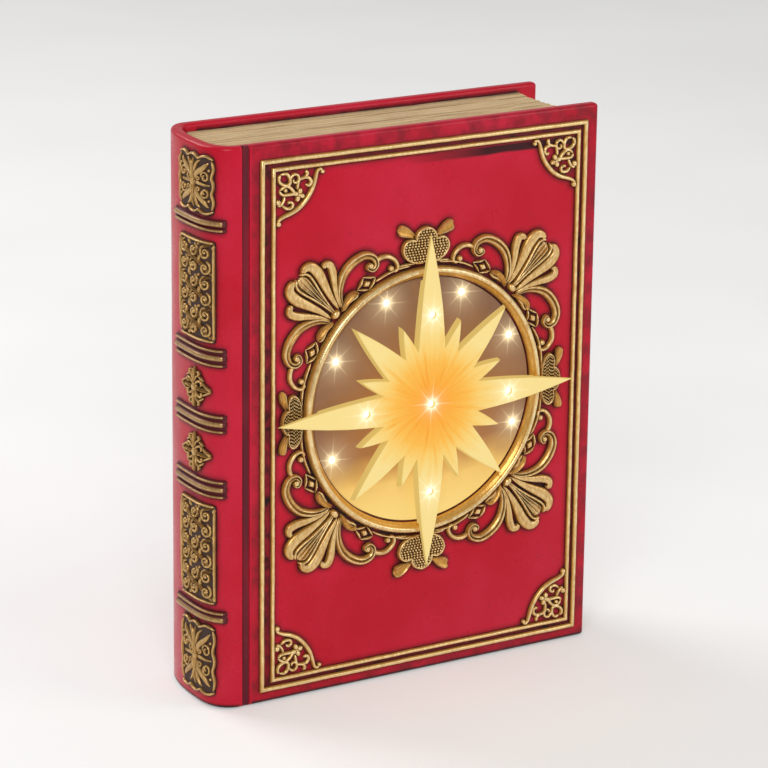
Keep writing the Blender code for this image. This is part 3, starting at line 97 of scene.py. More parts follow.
@dataclass(frozen=True)
class Sizes:
    """The lamp's main sizes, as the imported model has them."""

    height: float = 220.0 * MM
    width: float = 171.6 * MM
    face_y: float = -20.5 * MM
    back_y: float = 27.5 * MM
    board: float = 4.8 * MM
    spine_x: float = -84.1 * MM
    crown_y: float = -5.5 * MM
    spine_front_run: float = 11.8 * MM
    spine_rear_run: float = 13.6 * MM
    spine_front_power: float = 2.3
    spine_rear_power: float = 2.5
    groove_x: float = -71.0 * MM
    ring_x: float = 6.8 * MM
    ring_z: float = 111.5 * MM
    ring_radius: float = 53.3 * MM
    ring_bore: float = 49.2 * MM
    window_radius: float = 48.8 * MM
    frame_left: float = -65.1 * MM
    frame_right: float = 80.7 * MM
    frame_foot: float = 4.3 * MM
    frame_top: float = 214.1 * MM
    bay_x: float = 3.8 * MM
    bay_low: float = 30.0 * MM
    bay_top: float = 94.0 * MM
    bay_width: float = 49.2 * MM
    switch_z: float = 111.0 * MM
    hinge_y: float = 25.1 * MM
    hinge_z: float = 91.3 * MM

    @property
    def fore_x(self) -> float:
        """The boards' outer edge."""
        return self.width / 2


SIZES = Sizes()


# Colour and node helpers


def linear(code: str) -> tuple[float, float, float, float]:
    """Turns an sRGB hex colour into linear light.

    Args:
        code: Six hex digits after a #.

    Returns:
        Red, green, blue and an alpha of one.
    """
    channels = [int(code[i : i + 2], 16) / 255 for i in (1, 3, 5)]
    light = [c / 12.92 if c <= 0.04045 else ((c + 0.055) / 1.055) ** 2.4 for c in channels]
    return (light[0], light[1], light[2], 1.0)


def feed(tree: bpy.types.NodeTree, socket: Socket, value: object) -> None:
    """Links an output to an input, or sets the input's own value.

    Args:
        tree: The node tree.
        socket: The input.
        value: The output or value that it gets.
    """
    if isinstance(value, Socket):
        tree.links.new(value, socket)
    else:
        socket.default_value = value


def add_node(tree: bpy.types.NodeTree, kind: str, *values: object, **named: object) -> Socket:
    """Adds a node with its settings and links.

    Args:
        tree: The node tree.
        kind: The node's type without its ShaderNode prefix, such as "TexNoise".
        values: Values or sockets for the inputs that are in use, in their order.
        named: The node's own settings by their lower-case names, and inputs by their capitalised names.

    Returns:
        The first output that is in use.
    """
    node = tree.nodes.new("ShaderNode" + kind)
    for name, value in named.items():
        if name.islower():
            setattr(node, name, value)
        else:
            feed(tree, node.inputs[name], value)
    for socket, value in zip([s for s in node.inputs if s.enabled], values):
        feed(tree, socket, value)
    return next(s for s in node.outputs if s.enabled)


@dataclass
class Coat:
    """A new material with its Principled shader, and the steps that most finishes share."""

    name: str
    material: Material = field(init=False)
    tree: bpy.types.NodeTree = field(init=False)
    shader: bpy.types.Node = field(init=False)
    add: Callable[..., Socket] = field(init=False)
    place: Socket = field(init=False)
    x: Socket = field(init=False)
    y: Socket = field(init=False)
    z: Socket = field(init=False)

    def __post_init__(self) -> None:
        """Makes the material."""
        self.material = bpy.data.materials.new(self.name)
        self.material.use_nodes = True
        self.tree = self.material.node_tree
        self.shader = self.tree.nodes["Principled BSDF"]
        self.add = partial(add_node, self.tree)
        self.place = self.add("TexCoord").node.outputs["Object"]
        self.x, self.y, self.z = self.add("SeparateXYZ", self.place).node.outputs

    def mottle(self, grain_mm: float, detail: float = 3.0, stretch: Triple = (1.0, 1.0, 1.0)) -> Socket:
        """Noise with a real grain size.

        Args:
            grain_mm: The size of one blotch in millimetres.
            detail: How many finer layers it has.
            stretch: How much longer the blotches are along each axis.

        Returns:
            The noise, from 0 to 1.
        """
        place = self.add("Mapping", self.place, Scale=tuple(1.0 / s for s in stretch))
        return self.add("TexNoise", place, Scale=1.0 / (grain_mm * MM), Detail=detail)

    def hollows(self, reach_mm: float) -> Socket:
        """How open the surface is around each point: 0 deep in a hollow, 1 on open ground.

        Args:
            reach_mm: How far away a neighbour still counts, in millimetres.

        Returns:
            The openness, from 0 to 1.
        """
        return self.add("AmbientOcclusion", samples=6, Distance=reach_mm * MM).node.outputs["AO"]

    def relief(self, height: Socket, depth_mm: float, strength: float = 0.5) -> None:
        """Feeds a height into the shader's normal.

        Args:
            height: The height, from 0 to 1.
            depth_mm: The real height of one, in millimetres.
            strength: How far the bump shows.
        """
        bump = self.add("Bump", Height=height, Distance=depth_mm * MM, Strength=strength)
        feed(self.tree, self.shader.inputs["Normal"], bump)

    def set(self, **values: object) -> Material:
        """Sets or links the shader's sockets.

        Args:
            values: Socket names with underscores for blanks, and numbers, colours or sockets.

        Returns:
            The material.
        """
        for name, value in values.items():
            feed(self.tree, self.shader.inputs[name.replace("_", " ")], value)
        return self.material


# Finishes


@dataclass(frozen=True)
class LacqueredResin:
    """Cast polyresin, spray-lacquered red, with a dark wash and painted shade in its hollows.

    The eye sees a deep red with soft cloudy patches, a broad sheen, and brown-black lines where relief meets
    the board, partly wash and partly painted shade.
    """

    red: str = "#C40626"
    light_red: str = "#CE1A38"
    deep_red: str = "#7A1220"
    # The dark of the wash, also used for shade painted into the hollows
    wash: str = "#1E0709"
    groove: str = "#6A1626"
    cloud_mm: float = 38.0
    speck_mm: float = 2.2
    # A corner closer than this to its neighbour gets the wash and painted shade
    hollow_mm: float = 2.6

    def material(self) -> Material:
        """Makes the finish.

        Returns:
            The material.
        """
        coat = Coat("red_lacquered_cast_resin")
        add = coat.add
        cloud = coat.mottle(self.cloud_mm, 3.0)
        speck = coat.mottle(self.speck_mm, 4.0)
        clouds = add("MapRange", cloud, 0.42, 0.68)
        colour = add("Mix", clouds, linear(self.red), linear(self.light_red), data_type="RGBA")
        specks = add("MapRange", speck, 0.62, 0.8, 0.0, 0.3)
        colour = add("Mix", specks, colour, linear(self.deep_red), data_type="RGBA")
        colour = add("Mix", self.margin(coat), colour, linear(self.deep_red), data_type="RGBA")
        colour = add("Mix", self.groove_share(coat), colour, linear(self.groove), data_type="RGBA")
        # The wash along the lines and the shade painted into hollows, in one dark
        wash = add("Math", self.line_wash(coat), self.hollow_wash_and_shade(coat), operation="MAXIMUM")
        colour = add("Mix", wash, colour, linear(self.wash), data_type="RGBA")
        coat.relief(add("Math", speck, 0.2, coat.mottle(11.0, 3.0), operation="MULTIPLY_ADD"), 0.3, 0.4)
        roughness = add("MapRange", coat.mottle(14.0, 3.0), 0.3, 0.7, 0.24, 0.36)
        roughness = add("Math", wash, 0.25, roughness, operation="MULTIPLY_ADD")
        return coat.set(Base_Color=colour, Roughness=roughness, IOR=1.48, Specular_IOR_Level=0.26)

    def hollow_wash_and_shade(self, coat: Coat) -> Socket:
        """Wash and painted shade in corners, a little uneven in strength, and hardly any of it in the
        grooves.

        Args:
            coat: The material that it is for.

        Returns:
            Its share.
        """
        add = coat.add
        # Painted shade and wash where the surface is closed in
        near = add("MapRange", coat.hollows(self.hollow_mm), 0.74, 0.93, 1.0, 0.0)
        near = add("Math", near, self.by_groove(coat, 2.2, 3.2, 0.12, 1.0), operation="MULTIPLY")
        uneven = add("MapRange", coat.mottle(5.0, 3.0), 0.25, 0.55, 0.7, 1.0)
        return add("Math", near, uneven, operation="MULTIPLY")

    def by_groove(self, coat: Coat, near: float, far: float, inside: float, outside: float) -> Socket:
        """Goes from one value to another by the distance from a hinge groove's middle.

        Args:
            coat: The material.
            near: The distance in millimetres up to which it is inside.
            far: The distance from which it is outside.
            inside: The value in the groove.
            outside: The value away from it.

        Returns:
            The value.
        """
        off = coat.add(
            "Math", coat.add("Math", coat.x, SIZES.groove_x, operation="SUBTRACT"), operation="ABSOLUTE"
        )
        return coat.add("MapRange", off, near * MM, far * MM, inside, outside)

    def margin(self, coat: Coat) -> Socket:
        """The front face outside the frame lines, where the red is deeper in patches.

        Args:
            coat: The material that it is for.

        Returns:
            Its share.
        """
        add = coat.add
        outside = add("MapRange", self.outside_frame(coat), -0.5 * MM, 1.5 * MM)
        patches = add("MapRange", coat.mottle(6.0, 4.0), 0.38, 0.66, 0.12, 0.75)
        share = add("Math", outside, patches, operation="MULTIPLY")
        return add("Math", share, self.front_only(coat), operation="MULTIPLY")

    def groove_share(self, coat: Coat) -> Socket:
        """The hinge grooves on both outer faces, plum in the middle of their width.

        Args:
            coat: The material that it is for.

        Returns:
            Its share.
        """
        add = coat.add
        middle, half = (SIZES.face_y + SIZES.back_y) / 2, (SIZES.back_y - SIZES.face_y) / 2
        depth = add("Math", add("Math", coat.y, middle, operation="SUBTRACT"), operation="ABSOLUTE")
        outer = add("MapRange", depth, half - 2.4 * MM, half - 1.9 * MM)
        patchy = add("MapRange", coat.mottle(9.0, 3.0, (1.0, 1.0, 5.0)), 0.3, 0.55, 0.7, 1.0)
        share = add("Math", outer, patchy, operation="MULTIPLY")
        return add("Math", self.by_groove(coat, 1.3, 1.7, 1.0, 0.0), share, operation="MULTIPLY")

    def line_wash(self, coat: Coat) -> Socket:
        """Wash between the two frame lines, along the groove's edge and in the pool at the head.

        Args:
            coat: The material that it is for.

        Returns:
            Its share.
        """
        add = coat.add
        outside = self.outside_frame(coat)
        low = add("MapRange", outside, -4.9 * MM, -4.5 * MM)
        high = add("MapRange", outside, -1.8 * MM, -1.4 * MM, 1.0, 0.0)
        streaks = add("MapRange", coat.mottle(5.0, 4.0), 0.32, 0.62, 1.0, 0.5)
        gap = add("Math", add("Math", low, high, operation="MULTIPLY"), streaks, operation="MULTIPLY")
        gap = add("Math", gap, self.front_only(coat), operation="MULTIPLY")
        edge = add("Math", coat.x, SIZES.groove_x - 1.1 * MM, operation="SUBTRACT")
        rim = add("MapRange", add("Math", edge, operation="ABSOLUTE"), 0.25 * MM, 0.5 * MM, 1.0, 0.0)
        broken = add("MapRange", coat.mottle(12.0, 2.0, (1.0, 1.0, 3.0)), 0.4, 0.5, 0.25, 1.0)
        rim = add("Math", rim, broken, operation="MULTIPLY")
        rim = add("Math", rim, self.groove_share(coat), operation="MULTIPLY")
        gap = add("Math", gap, rim, operation="MAXIMUM")
        return add("Math", gap, self.pool(coat), operation="MAXIMUM")

    def pool(self, coat: Coat) -> Socket:
        """Wash that ran together inside the inner line, towards the head's right.

        Args:
            coat: The material that it is for.

        Returns:
            Its share.
        """
        add = coat.add
        outside = self.outside_frame(coat)
        streaks = coat.mottle(7.0, 3.0, (4.0, 1.0, 1.0))
        uneven = add("Math", streaks, 4.0 * MM, outside, operation="MULTIPLY_ADD")
        depth = add("MapRange", uneven, -7.4 * MM, -6.4 * MM)
        inside = add("MapRange", outside, -6.0 * MM, -5.6 * MM, 1.0, 0.0)
        depth = add("Math", depth, inside, operation="MULTIPLY")
        head = add("MapRange", coat.z, 186 * MM, 198 * MM)
        right = add("MapRange", coat.x, -6 * MM, 34 * MM)
        spread = add("Math", add("Math", head, right, operation="MULTIPLY"), 0.95, operation="MULTIPLY")
        spread = add("Math", depth, spread, operation="MULTIPLY")
        return add("Math", spread, self.front_only(coat), operation="MULTIPLY")

    def outside_frame(self, coat: Coat) -> Socket:
        """How far a point lies outside the outer frame line, negative inside it.

        Args:
            coat: The material that it is for.

        Returns:
            The distance.
        """
        s = SIZES
        reaches = []
        for low, high, place in (
            (s.frame_left, s.frame_right, coat.x), (s.frame_foot, s.frame_top, coat.z)
        ):
            off = coat.add("Math", place, (low + high) / 2, operation="SUBTRACT")
            off = coat.add("Math", off, operation="ABSOLUTE")
            reaches.append(coat.add("Math", off, (high - low) / 2, operation="SUBTRACT"))
        return coat.add("Math", *reaches, operation="MAXIMUM")

    def front_only(self, coat: Coat) -> Socket:
        """One on the front face beside and inside the frame, nothing on the spine and the back.

        Args:
            coat: The material that it is for.

        Returns:
            The mask.
        """
        near = coat.add("MapRange", coat.y, SIZES.face_y + 1.0 * MM, SIZES.face_y + 1.6 * MM, 1.0, 0.0)
        beside = coat.add("MapRange", coat.x, SIZES.groove_x + 1.6 * MM, SIZES.groove_x + 3 * MM)
        return coat.add("Math", near, beside, operation="MULTIPLY")


@dataclass(frozen=True)
class GiltPaint:
    """Gold paint brushed over cast relief, then rubbed with brown wash, with shade painted into its low
    places.

    The eye sees pale ridges with a painted highlight, warm gold slopes with fine brush lines, and
    brown-black hollows.
    The meshes carry how high each point stands, so that the wash and the painted shade lie at the foot of
    every stroke.
    """

    name: str = "antiqued_gold_paint"
    gold: str = "#D8A24C"
    # The painted highlight on the crests of the strokes
    ridge: str = "#FFE6AC"
    slope: str = "#A87230"
    # The dark of the wash, also used for the shade painted at the strokes' feet and in hollows
    wash: str = "#2A1408"
    foot: tuple[float, float] = (0.03, 0.34)
    metallic: float = 0.55
    roughness: float = 0.3

    def material(self) -> Material:
        """Makes the finish.

        Returns:
            The material.
        """
        coat = Coat(self.name)
        add = coat.add
        height = add("Attribute", attribute_name=HEIGHT_NAME).node.outputs["Fac"]
        brush = coat.mottle(0.9, 4.0, (1.0, 1.0, 3.0))
        patches = coat.mottle(4.5, 3.0)
        strokes = add("MapRange", brush, 0.35, 0.7, 0.0, 0.6)
        colour = add("Mix", strokes, linear(self.gold), linear(self.slope), data_type="RGBA")
        # Painted highlight along the crests
        crown = add("MapRange", height, 0.72, 0.97, 0.0, 0.9)
        crown = add("Math", crown, add("MapRange", brush, 0.3, 0.6, 1.0, 0.45), operation="MULTIPLY")
        colour = add("Mix", crown, colour, linear(self.ridge), data_type="RGBA")
        worn = add("MapRange", patches, 0.52, 0.74, 0.0, 0.4)
        colour = add("Mix", worn, colour, linear(self.slope), data_type="RGBA")
        # Wash and painted shade at the strokes' feet, by height, and in hollows, by how closed in each point
        # is
        uneven = add("Math", patches, -0.2, height, operation="MULTIPLY_ADD")
        low = add("MapRange", uneven, self.foot[0] - 0.1, self.foot[1] - 0.1, 1.0, 0.0)
        deep = add("MapRange", coat.hollows(1.1), 0.3, 0.68, 0.9, 0.0)
        wash_and_shade = add("Math", low, deep, operation="MAXIMUM")
        colour = add("Mix", wash_and_shade, colour, linear(self.wash), data_type="RGBA")
        coat.relief(brush, 0.1, 0.55)
        shine = add("Math", wash_and_shade, 0.3, self.roughness, operation="MULTIPLY_ADD")
        metal = add("Math", wash_and_shade, -self.metallic, self.metallic, operation="MULTIPLY_ADD")
        return coat.set(Base_Color=colour, Roughness=shine, Metallic=metal)


@dataclass(frozen=True)
class PaintedPages:
    """Cast resin leaves in cream paint with a brown wash drawn along the sheets.

    The eye sees hundreds of thin lines, dark between the gatherings and pale on their edges.
    Real sheets of 0.1 mm are too fine to show, so the lines are drawn about 0.4 mm apart.
    """

    cream: str = "#CFAF80"
    pale: str = "#E6CDA2"
    brown: str = "#86643E"
    # The painted shade where the leaves lie deep between the boards
    hollow: str = "#4A3519"
    glue: str = "#3A1B12"
    line_mm: float = 0.4
    # The glued edge beside the back board shows as a row of dark dashes this far apart
    dash_mm: float = 1.3

    def material(self) -> Material:
        """Makes the finish.

        Returns:
            The material.
        """
        coat = Coat("cream_painted_cast_leaves")
        add = coat.add
        fine = coat.mottle(self.line_mm, 2.0, (60.0, 1.0, 60.0))
        broad = coat.mottle(2.2, 3.0, (22.0, 1.0, 22.0))
        sheets = add("MapRange", fine, 0.35, 0.68)
        colour = add("Mix", sheets, linear(self.cream), linear(self.pale), data_type="RGBA")
        thin = add("MapRange", fine, 0.3, 0.44, 0.6, 0.0)
        thick = add("MapRange", broad, 0.34, 0.44, 0.4, 0.0)
        lines = add("Math", thin, thick, operation="MAXIMUM")
        colour = add("Mix", lines, colour, linear(self.brown), data_type="RGBA")
        # Painted shade in hollows, by how closed in each point is
        deep = add("MapRange", coat.hollows(1.2), 0.2, 0.6, 0.7, 0.0)
        colour = add("Mix", deep, colour, linear(self.hollow), data_type="RGBA")
        run = add("Math", coat.x, coat.z, operation="ADD")
        run = add("Math", run, math.tau / (self.dash_mm * MM), operation="MULTIPLY")
        dash = add("MapRange", add("Math", run, operation="SINE"), -0.2, 0.5, 0.35, 1.0)
        inner_face = SIZES.back_y - SIZES.board
        seam = add("MapRange", coat.y, inner_face - 1.25 * MM, inner_face - 0.75 * MM)
        stitched = add("Math", seam, dash, operation="MULTIPLY")
        colour = add("Mix", stitched, colour, linear(self.glue), data_type="RGBA")
        coat.relief(fine, 0.3, 0.6)
        return coat.set(Base_Color=colour, Roughness=0.72, IOR=1.5)


@dataclass(frozen=True)
class LitPlastic:
    """Moulded translucent plastic with lamps behind it.

    The eye sees a soft gloss over colour that glows, with a white bloom and short rays round each lamp.
    """

    name: str
    lamps: tuple[Point, ...]
    halo_mm: float
    ray_mm: float
    turn: float = 0.35

    def glints(self, coat: Coat) -> Socket:
        """The bloom and rays of all lamps together.

        Args:
            coat: The material that they show on.

        Returns:
            The brightness, from 0 up.
        """
        group = self.glint_group()
        total: object = 0.0
        for x, z in self.lamps:
            glint = coat.add("Group", coat.place, (x, 0.0, z), node_tree=group)
            total = coat.add("Math", total, glint, operation="ADD")
        return total

    def glint_group(self) -> bpy.types.NodeTree:
        """The bloom of one lamp: a core, a halo and eight rays.

        Returns:
            The node group, with the place and the lamp's centre as inputs.
        """
        tree = bpy.data.node_groups.new(self.name + "_glint", "ShaderNodeTree")
        for name in ("Place", "Centre"):
            tree.interface.new_socket(name, in_out="INPUT", socket_type="NodeSocketVector")
        tree.interface.new_socket("Glow", in_out="OUTPUT", socket_type="NodeSocketFloat")
        add = partial(add_node, tree)
        inputs = tree.nodes.new("NodeGroupInput").outputs
        place = add("VectorMath", inputs[0], (1.0, 0.0, 1.0), operation="MULTIPLY")
        away = add("VectorMath", place, inputs[1], operation="SUBTRACT")
        reach = add("VectorMath", away, operation="LENGTH")
        x, _, z = add("SeparateXYZ", away).node.outputs
        turn = add("Math", z, x, operation="ARCTAN2")
        wave = add("Math", add("Math", turn, 4.0, self.turn, operation="MULTIPLY_ADD"), operation="SINE")
        wave = add("Math", wave, operation="ABSOLUTE")
        across = add("Math", wave, add("Math", reach, 0.25, operation="MULTIPLY"), operation="MULTIPLY")
        line = add("MapRange", across, 0.0, 0.4 * MM, 1.0, 0.0)
        # Every second ray is shorter
        beat = add("Math", turn, 4.0, self.turn / 2 + 0.4, operation="MULTIPLY_ADD")
        full = self.ray_mm * MM
        limit = add(
            "Math", add("Math", beat, operation="SINE"), 0.22 * full, 0.78 * full, operation="MULTIPLY_ADD"
        )
        share = add("Math", add("Math", reach, limit, operation="DIVIDE"), 1.0, operation="MINIMUM")
        length = add("Math", add("Math", 1.0, share, operation="SUBTRACT"), 1.3, operation="POWER")
        ray = add("Math", line, length, operation="MULTIPLY")
        halo = add("Math", add("MapRange", reach, 0.0, self.halo_mm * MM, 1.0, 0.0), 2.6, operation="POWER")
        core = add("Math", add("MapRange", reach, 1.2 * MM, 4.6 * MM, 1.0, 0.0), 2.0, operation="POWER")
        glow = add("Math", halo, 0.65, core, operation="MULTIPLY_ADD")
        glow = add("Math", ray, 0.7, glow, operation="MULTIPLY_ADD")
        tree.links.new(glow, tree.nodes.new("NodeGroupOutput").inputs[0])
        return tree

    def dressed(
        self, coat: Coat, body: object, ground: str, bloom: str, glow: object, roughness: float, base: float
    ) -> Material:
        """Makes the plastic glow in its own colour, whiter round the lamps.

        Args:
            coat: The material.
            body: The plastic's colour.
            ground: The dark that its unlit colour leans to.
            bloom: The colour round the lamps.
            glow: How strongly the lamps show.
            roughness: The surface's roughness.
            base: How bright the plastic is away from the lamps.

        Returns:
            The material.
        """
        bright = coat.add("Math", glow, 1.0, operation="MINIMUM")
        return coat.set(
            Base_Color=coat.add("Mix", 0.7, body, linear(ground), data_type="RGBA"), Roughness=roughness,
            IOR=1.49, Specular_IOR_Level=0.18,
            Emission_Color=coat.add("Mix", bright, body, linear(bloom), data_type="RGBA"),
            Emission_Strength=coat.add("Math", glow, 0.25, base, operation="MULTIPLY_ADD"),
        )


@dataclass(frozen=True)
class WindowPlastic(LitPlastic):
    """Smoky pearl plastic: grey-brown above, and golden where light pools at its foot."""

    def material(self) -> Material:
        """Makes the finish.

        Returns:
            The material.
        """
        coat = Coat(self.name)
        add = coat.add
        cloud = coat.mottle(15.0, 3.0)
        sway = add("Math", cloud, 0.5, operation="SUBTRACT")
        edge = add("Math", sway, 10 * MM, coat.z, operation="MULTIPLY_ADD")
        # Light pools below this height, behind the star's lower arms
        pool = add("MapRange", edge, 80 * MM, 93 * MM, 1.0, 0.0)
        upper = add("MapRange", edge, 90 * MM, 150 * MM)
        body = add("Mix", upper, linear("#BC7C44"), linear("#94694A"), data_type="RGBA")
        middle = (SIZES.ring_x, SIZES.face_y, SIZES.ring_z)
        away = add("VectorMath", coat.place, middle, operation="DISTANCE")
        rim = add("MapRange", away, 24 * MM, 48 * MM, 0.0, 0.7)
        body = add("Mix", rim, body, linear("#7C5C48"), data_type="RGBA")
        body = add(
            "Mix", add("MapRange", cloud, 0.4, 0.72, 0.0, 0.45), body, linear("#AA7C52"), data_type="RGBA"
        )
        shallow = add("MapRange", edge, 66 * MM, 86 * MM)
        gold = add("Mix", shallow, linear("#FFDC82"), linear("#F6C46A"), data_type="RGBA")
        body = add("Mix", pool, body, gold, data_type="RGBA")
        coat.relief(coat.mottle(6.0, 2.0), 0.1, 0.12)
        return self.dressed(coat, body, "#14100E", "#FFE6B4", self.glints(coat), 0.3, 0.7)


@dataclass(frozen=True)
class StarPlastic(LitPlastic):
    """Milky yellow plastic, lit from within: amber round the middle and pale towards the tips."""

    def material(self) -> Material:
        """Makes the finish.

        Returns:
            The material.
        """
        coat = Coat(self.name)
        add = coat.add
        flat = add("VectorMath", coat.place, (1.0, 0.0, 1.0), operation="MULTIPLY")
        away = add("VectorMath", flat, (SIZES.ring_x, 0.0, SIZES.ring_z), operation="SUBTRACT")
        reach = add("VectorMath", away, operation="LENGTH")
        x, _, z = add("SeparateXYZ", away).node.outputs
        turn = add("Math", z, x, operation="ARCTAN2")
        round_it = add("Math", turn, 7.0, operation="MULTIPLY")
        spokes = add("CombineXYZ", round_it, add("Math", reach, 30.0, operation="MULTIPLY"))
        streak = add("TexNoise", spokes, Scale=1.6, Detail=3.0)
        sway = add("Math", streak, 0.5, operation="SUBTRACT")
        soft = add("Math", sway, 14 * MM, reach, operation="MULTIPLY_ADD")
        inner = add("MapRange", soft, 4 * MM, 23 * MM, 1.0, 0.0)
        outer = add("MapRange", soft, 17 * MM, 31 * MM)
        body = add("Mix", inner, linear("#FECB5E"), linear("#FFA62C"), data_type="RGBA")
        body = add("Mix", outer, body, linear("#FCE294"), data_type="RGBA")
        crease = add("MapRange", streak, 0.34, 0.43, 0.55, 0.0)
        crease = add(
            "Math", crease, add("MapRange", reach, 6 * MM, 30 * MM, 1.0, 0.0), operation="MULTIPLY"
        )
        body = add("Mix", crease, body, linear("#F39A26"), data_type="RGBA")
        # Side walls face away from the viewer and hold less light
        normal = add("NewGeometry").node.outputs["Normal"]
        facing = add("VectorMath", normal, (0.0, -1.0, 0.0), operation="DOT_PRODUCT")
        wall = add("MapRange", facing, 0.3, 0.8, 0.9, 0.0)
        body = add("Mix", wall, body, linear("#DDBC68"), data_type="RGBA")
        open_to_view = add("Math", 1.0, wall, operation="SUBTRACT")
        glow = add("Math", self.glints(coat), open_to_view, operation="MULTIPLY")
        return self.dressed(coat, body, "#181004", "#FFF4D0", glow, 0.42, 0.7)


@dataclass(frozen=True)
class ShrinkWrap:
    """Printed shrink film round a zinc can: a dark body, a copper band and bare ends.

    The eye sees a glossy two-colour sleeve with a thin pale line where the colours meet.
    """

    body: str = "#1E2226"
    band: str = "#B8743A"
    line: str = "#D8D2C4"
    bare: str = "#B9B6B0"
    band_height: float = 13.0 * MM
    bare_height: float = 1.2 * MM

    def material(self) -> Material:
        """Makes the finish.

        Returns:
            The material.
        """
        coat = Coat("printed_shrink_film")
        add = coat.add
        low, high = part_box("battery_cell_1")
        foot, head = low[2], high[2]
        join = head - self.band_height
        share = add("MapRange", coat.z, join - 0.2 * MM, join)
        colour = add("Mix", share, linear(self.body), linear(self.band), data_type="RGBA")
        edge = add("Math", coat.z, join - 0.6 * MM, operation="SUBTRACT")
        thin = add("MapRange", add("Math", edge, operation="ABSOLUTE"), 0.3 * MM, 0.4 * MM, 1.0, 0.0)
        colour = add("Mix", thin, colour, linear(self.line), data_type="RGBA")
        off = add(
            "Math", add("Math", coat.z, (foot + head) / 2, operation="SUBTRACT"), operation="ABSOLUTE"
        )
        end = (head - foot) / 2 - self.bare_height
        bare = add("MapRange", off, end - 0.2 * MM, end)
        colour = add("Mix", bare, colour, linear(self.bare), data_type="RGBA")
        grain = coat.mottle(1.2, 3.0)
        coat.relief(grain, 0.02, 0.4)
        roughness = add("MapRange", grain, 0.3, 0.7, 0.2, 0.3)
        metal = add("Math", bare, 0.9, operation="MULTIPLY")
        return coat.set(Base_Color=colour, Roughness=roughness, Metallic=metal)


@dataclass(frozen=True)
class PlainFinish:
    """A simple moulded, plated or printed surface with its own grain.

    The eye sees one colour, broken up by a fine grain of a real size.
    """

    name: str
    colour: str
    second: str
    roughness: float
    metallic: float = 0.0
    grain_mm: float = 0.8
    depth_mm: float = 0.03
    glow: float = 0.0

    def material(self) -> Material:
        """Makes the finish.

        Returns:
            The material.
        """
        coat = Coat(self.name)
        grain = coat.mottle(self.grain_mm, 3.0)
        share = coat.add("MapRange", grain, 0.35, 0.7)
        colour = coat.add("Mix", share, linear(self.colour), linear(self.second), data_type="RGBA")
        coat.relief(grain, self.depth_mm, 0.4)
        rough = coat.add(
            "MapRange", grain, 0.3, 0.7, self.roughness * 0.85, min(1.0, self.roughness * 1.15)
        )
        coat.set(Base_Color=colour, Roughness=rough, Metallic=self.metallic)
        if self.glow:
            coat.set(Emission_Color=linear(self.colour), Emission_Strength=self.glow)
        return coat.material


# Shapes


def smooth_path(points: Sequence[Vector], steps: int) -> list[Vector]:
    """Reads points from a Catmull-Rom curve.

    Args:
        points: The points that the curve passes through.
        steps: How many steps each span gets.

    Returns:
        The points of the curve.
    """
    ends = [2 * points[0] - points[1], *points, 2 * points[-1] - points[-2]]
    path = []
    for before, start, end, after in zip(ends, ends[1:], ends[2:], ends[3:]):
        for i in range(steps):
            t = i / steps
            bend = (end - before) * t + (2 * before - 5 * start + 4 * end - after) * t * t
            path.append((2 * start + bend + (3 * start - before - 3 * end + after) * t**3) / 2)
    path.append(points[-1])
    return path


def spiral(
    centre: Point, start: float, end: float, turns: float, angle: float, count: int = 12
) -> list[Point]:
    """Points of a spiral.

    Args:
        centre: Its middle.
        start: Its first radius.
        end: Its last radius.
        turns: How many turns it makes; negative for clockwise.
        angle: Where it starts, in degrees.
        count: How many points it has.

    Returns:
        The points.
    """
    points = []
    for i in range(count):
        share = i / (count - 1)
        radius = start + (end - start) * share
        turn = math.radians(angle) + math.tau * turns * share
        points.append((centre[0] + radius * math.cos(turn), centre[1] + radius * math.sin(turn)))
    return points


def skin(
    shape: bmesh.types.BMesh, loops: Sequence[Sequence[bmesh.types.BMVert]], around: bool = False
) -> None:
    """Joins each closed loop of points to the next by a strip of faces.

    Args:
        shape: The shape that the points are in.
        loops: The loops, each of as many points.
        around: Whether the last one joins the first.
    """
    for here, after in zip(loops, [*loops[1:], *(loops[:1] if around else ())]):
        for i in range(len(here)):
            j = (i + 1) % len(here)
            shape.faces.new((here[i], here[j], after[j], after[i]))


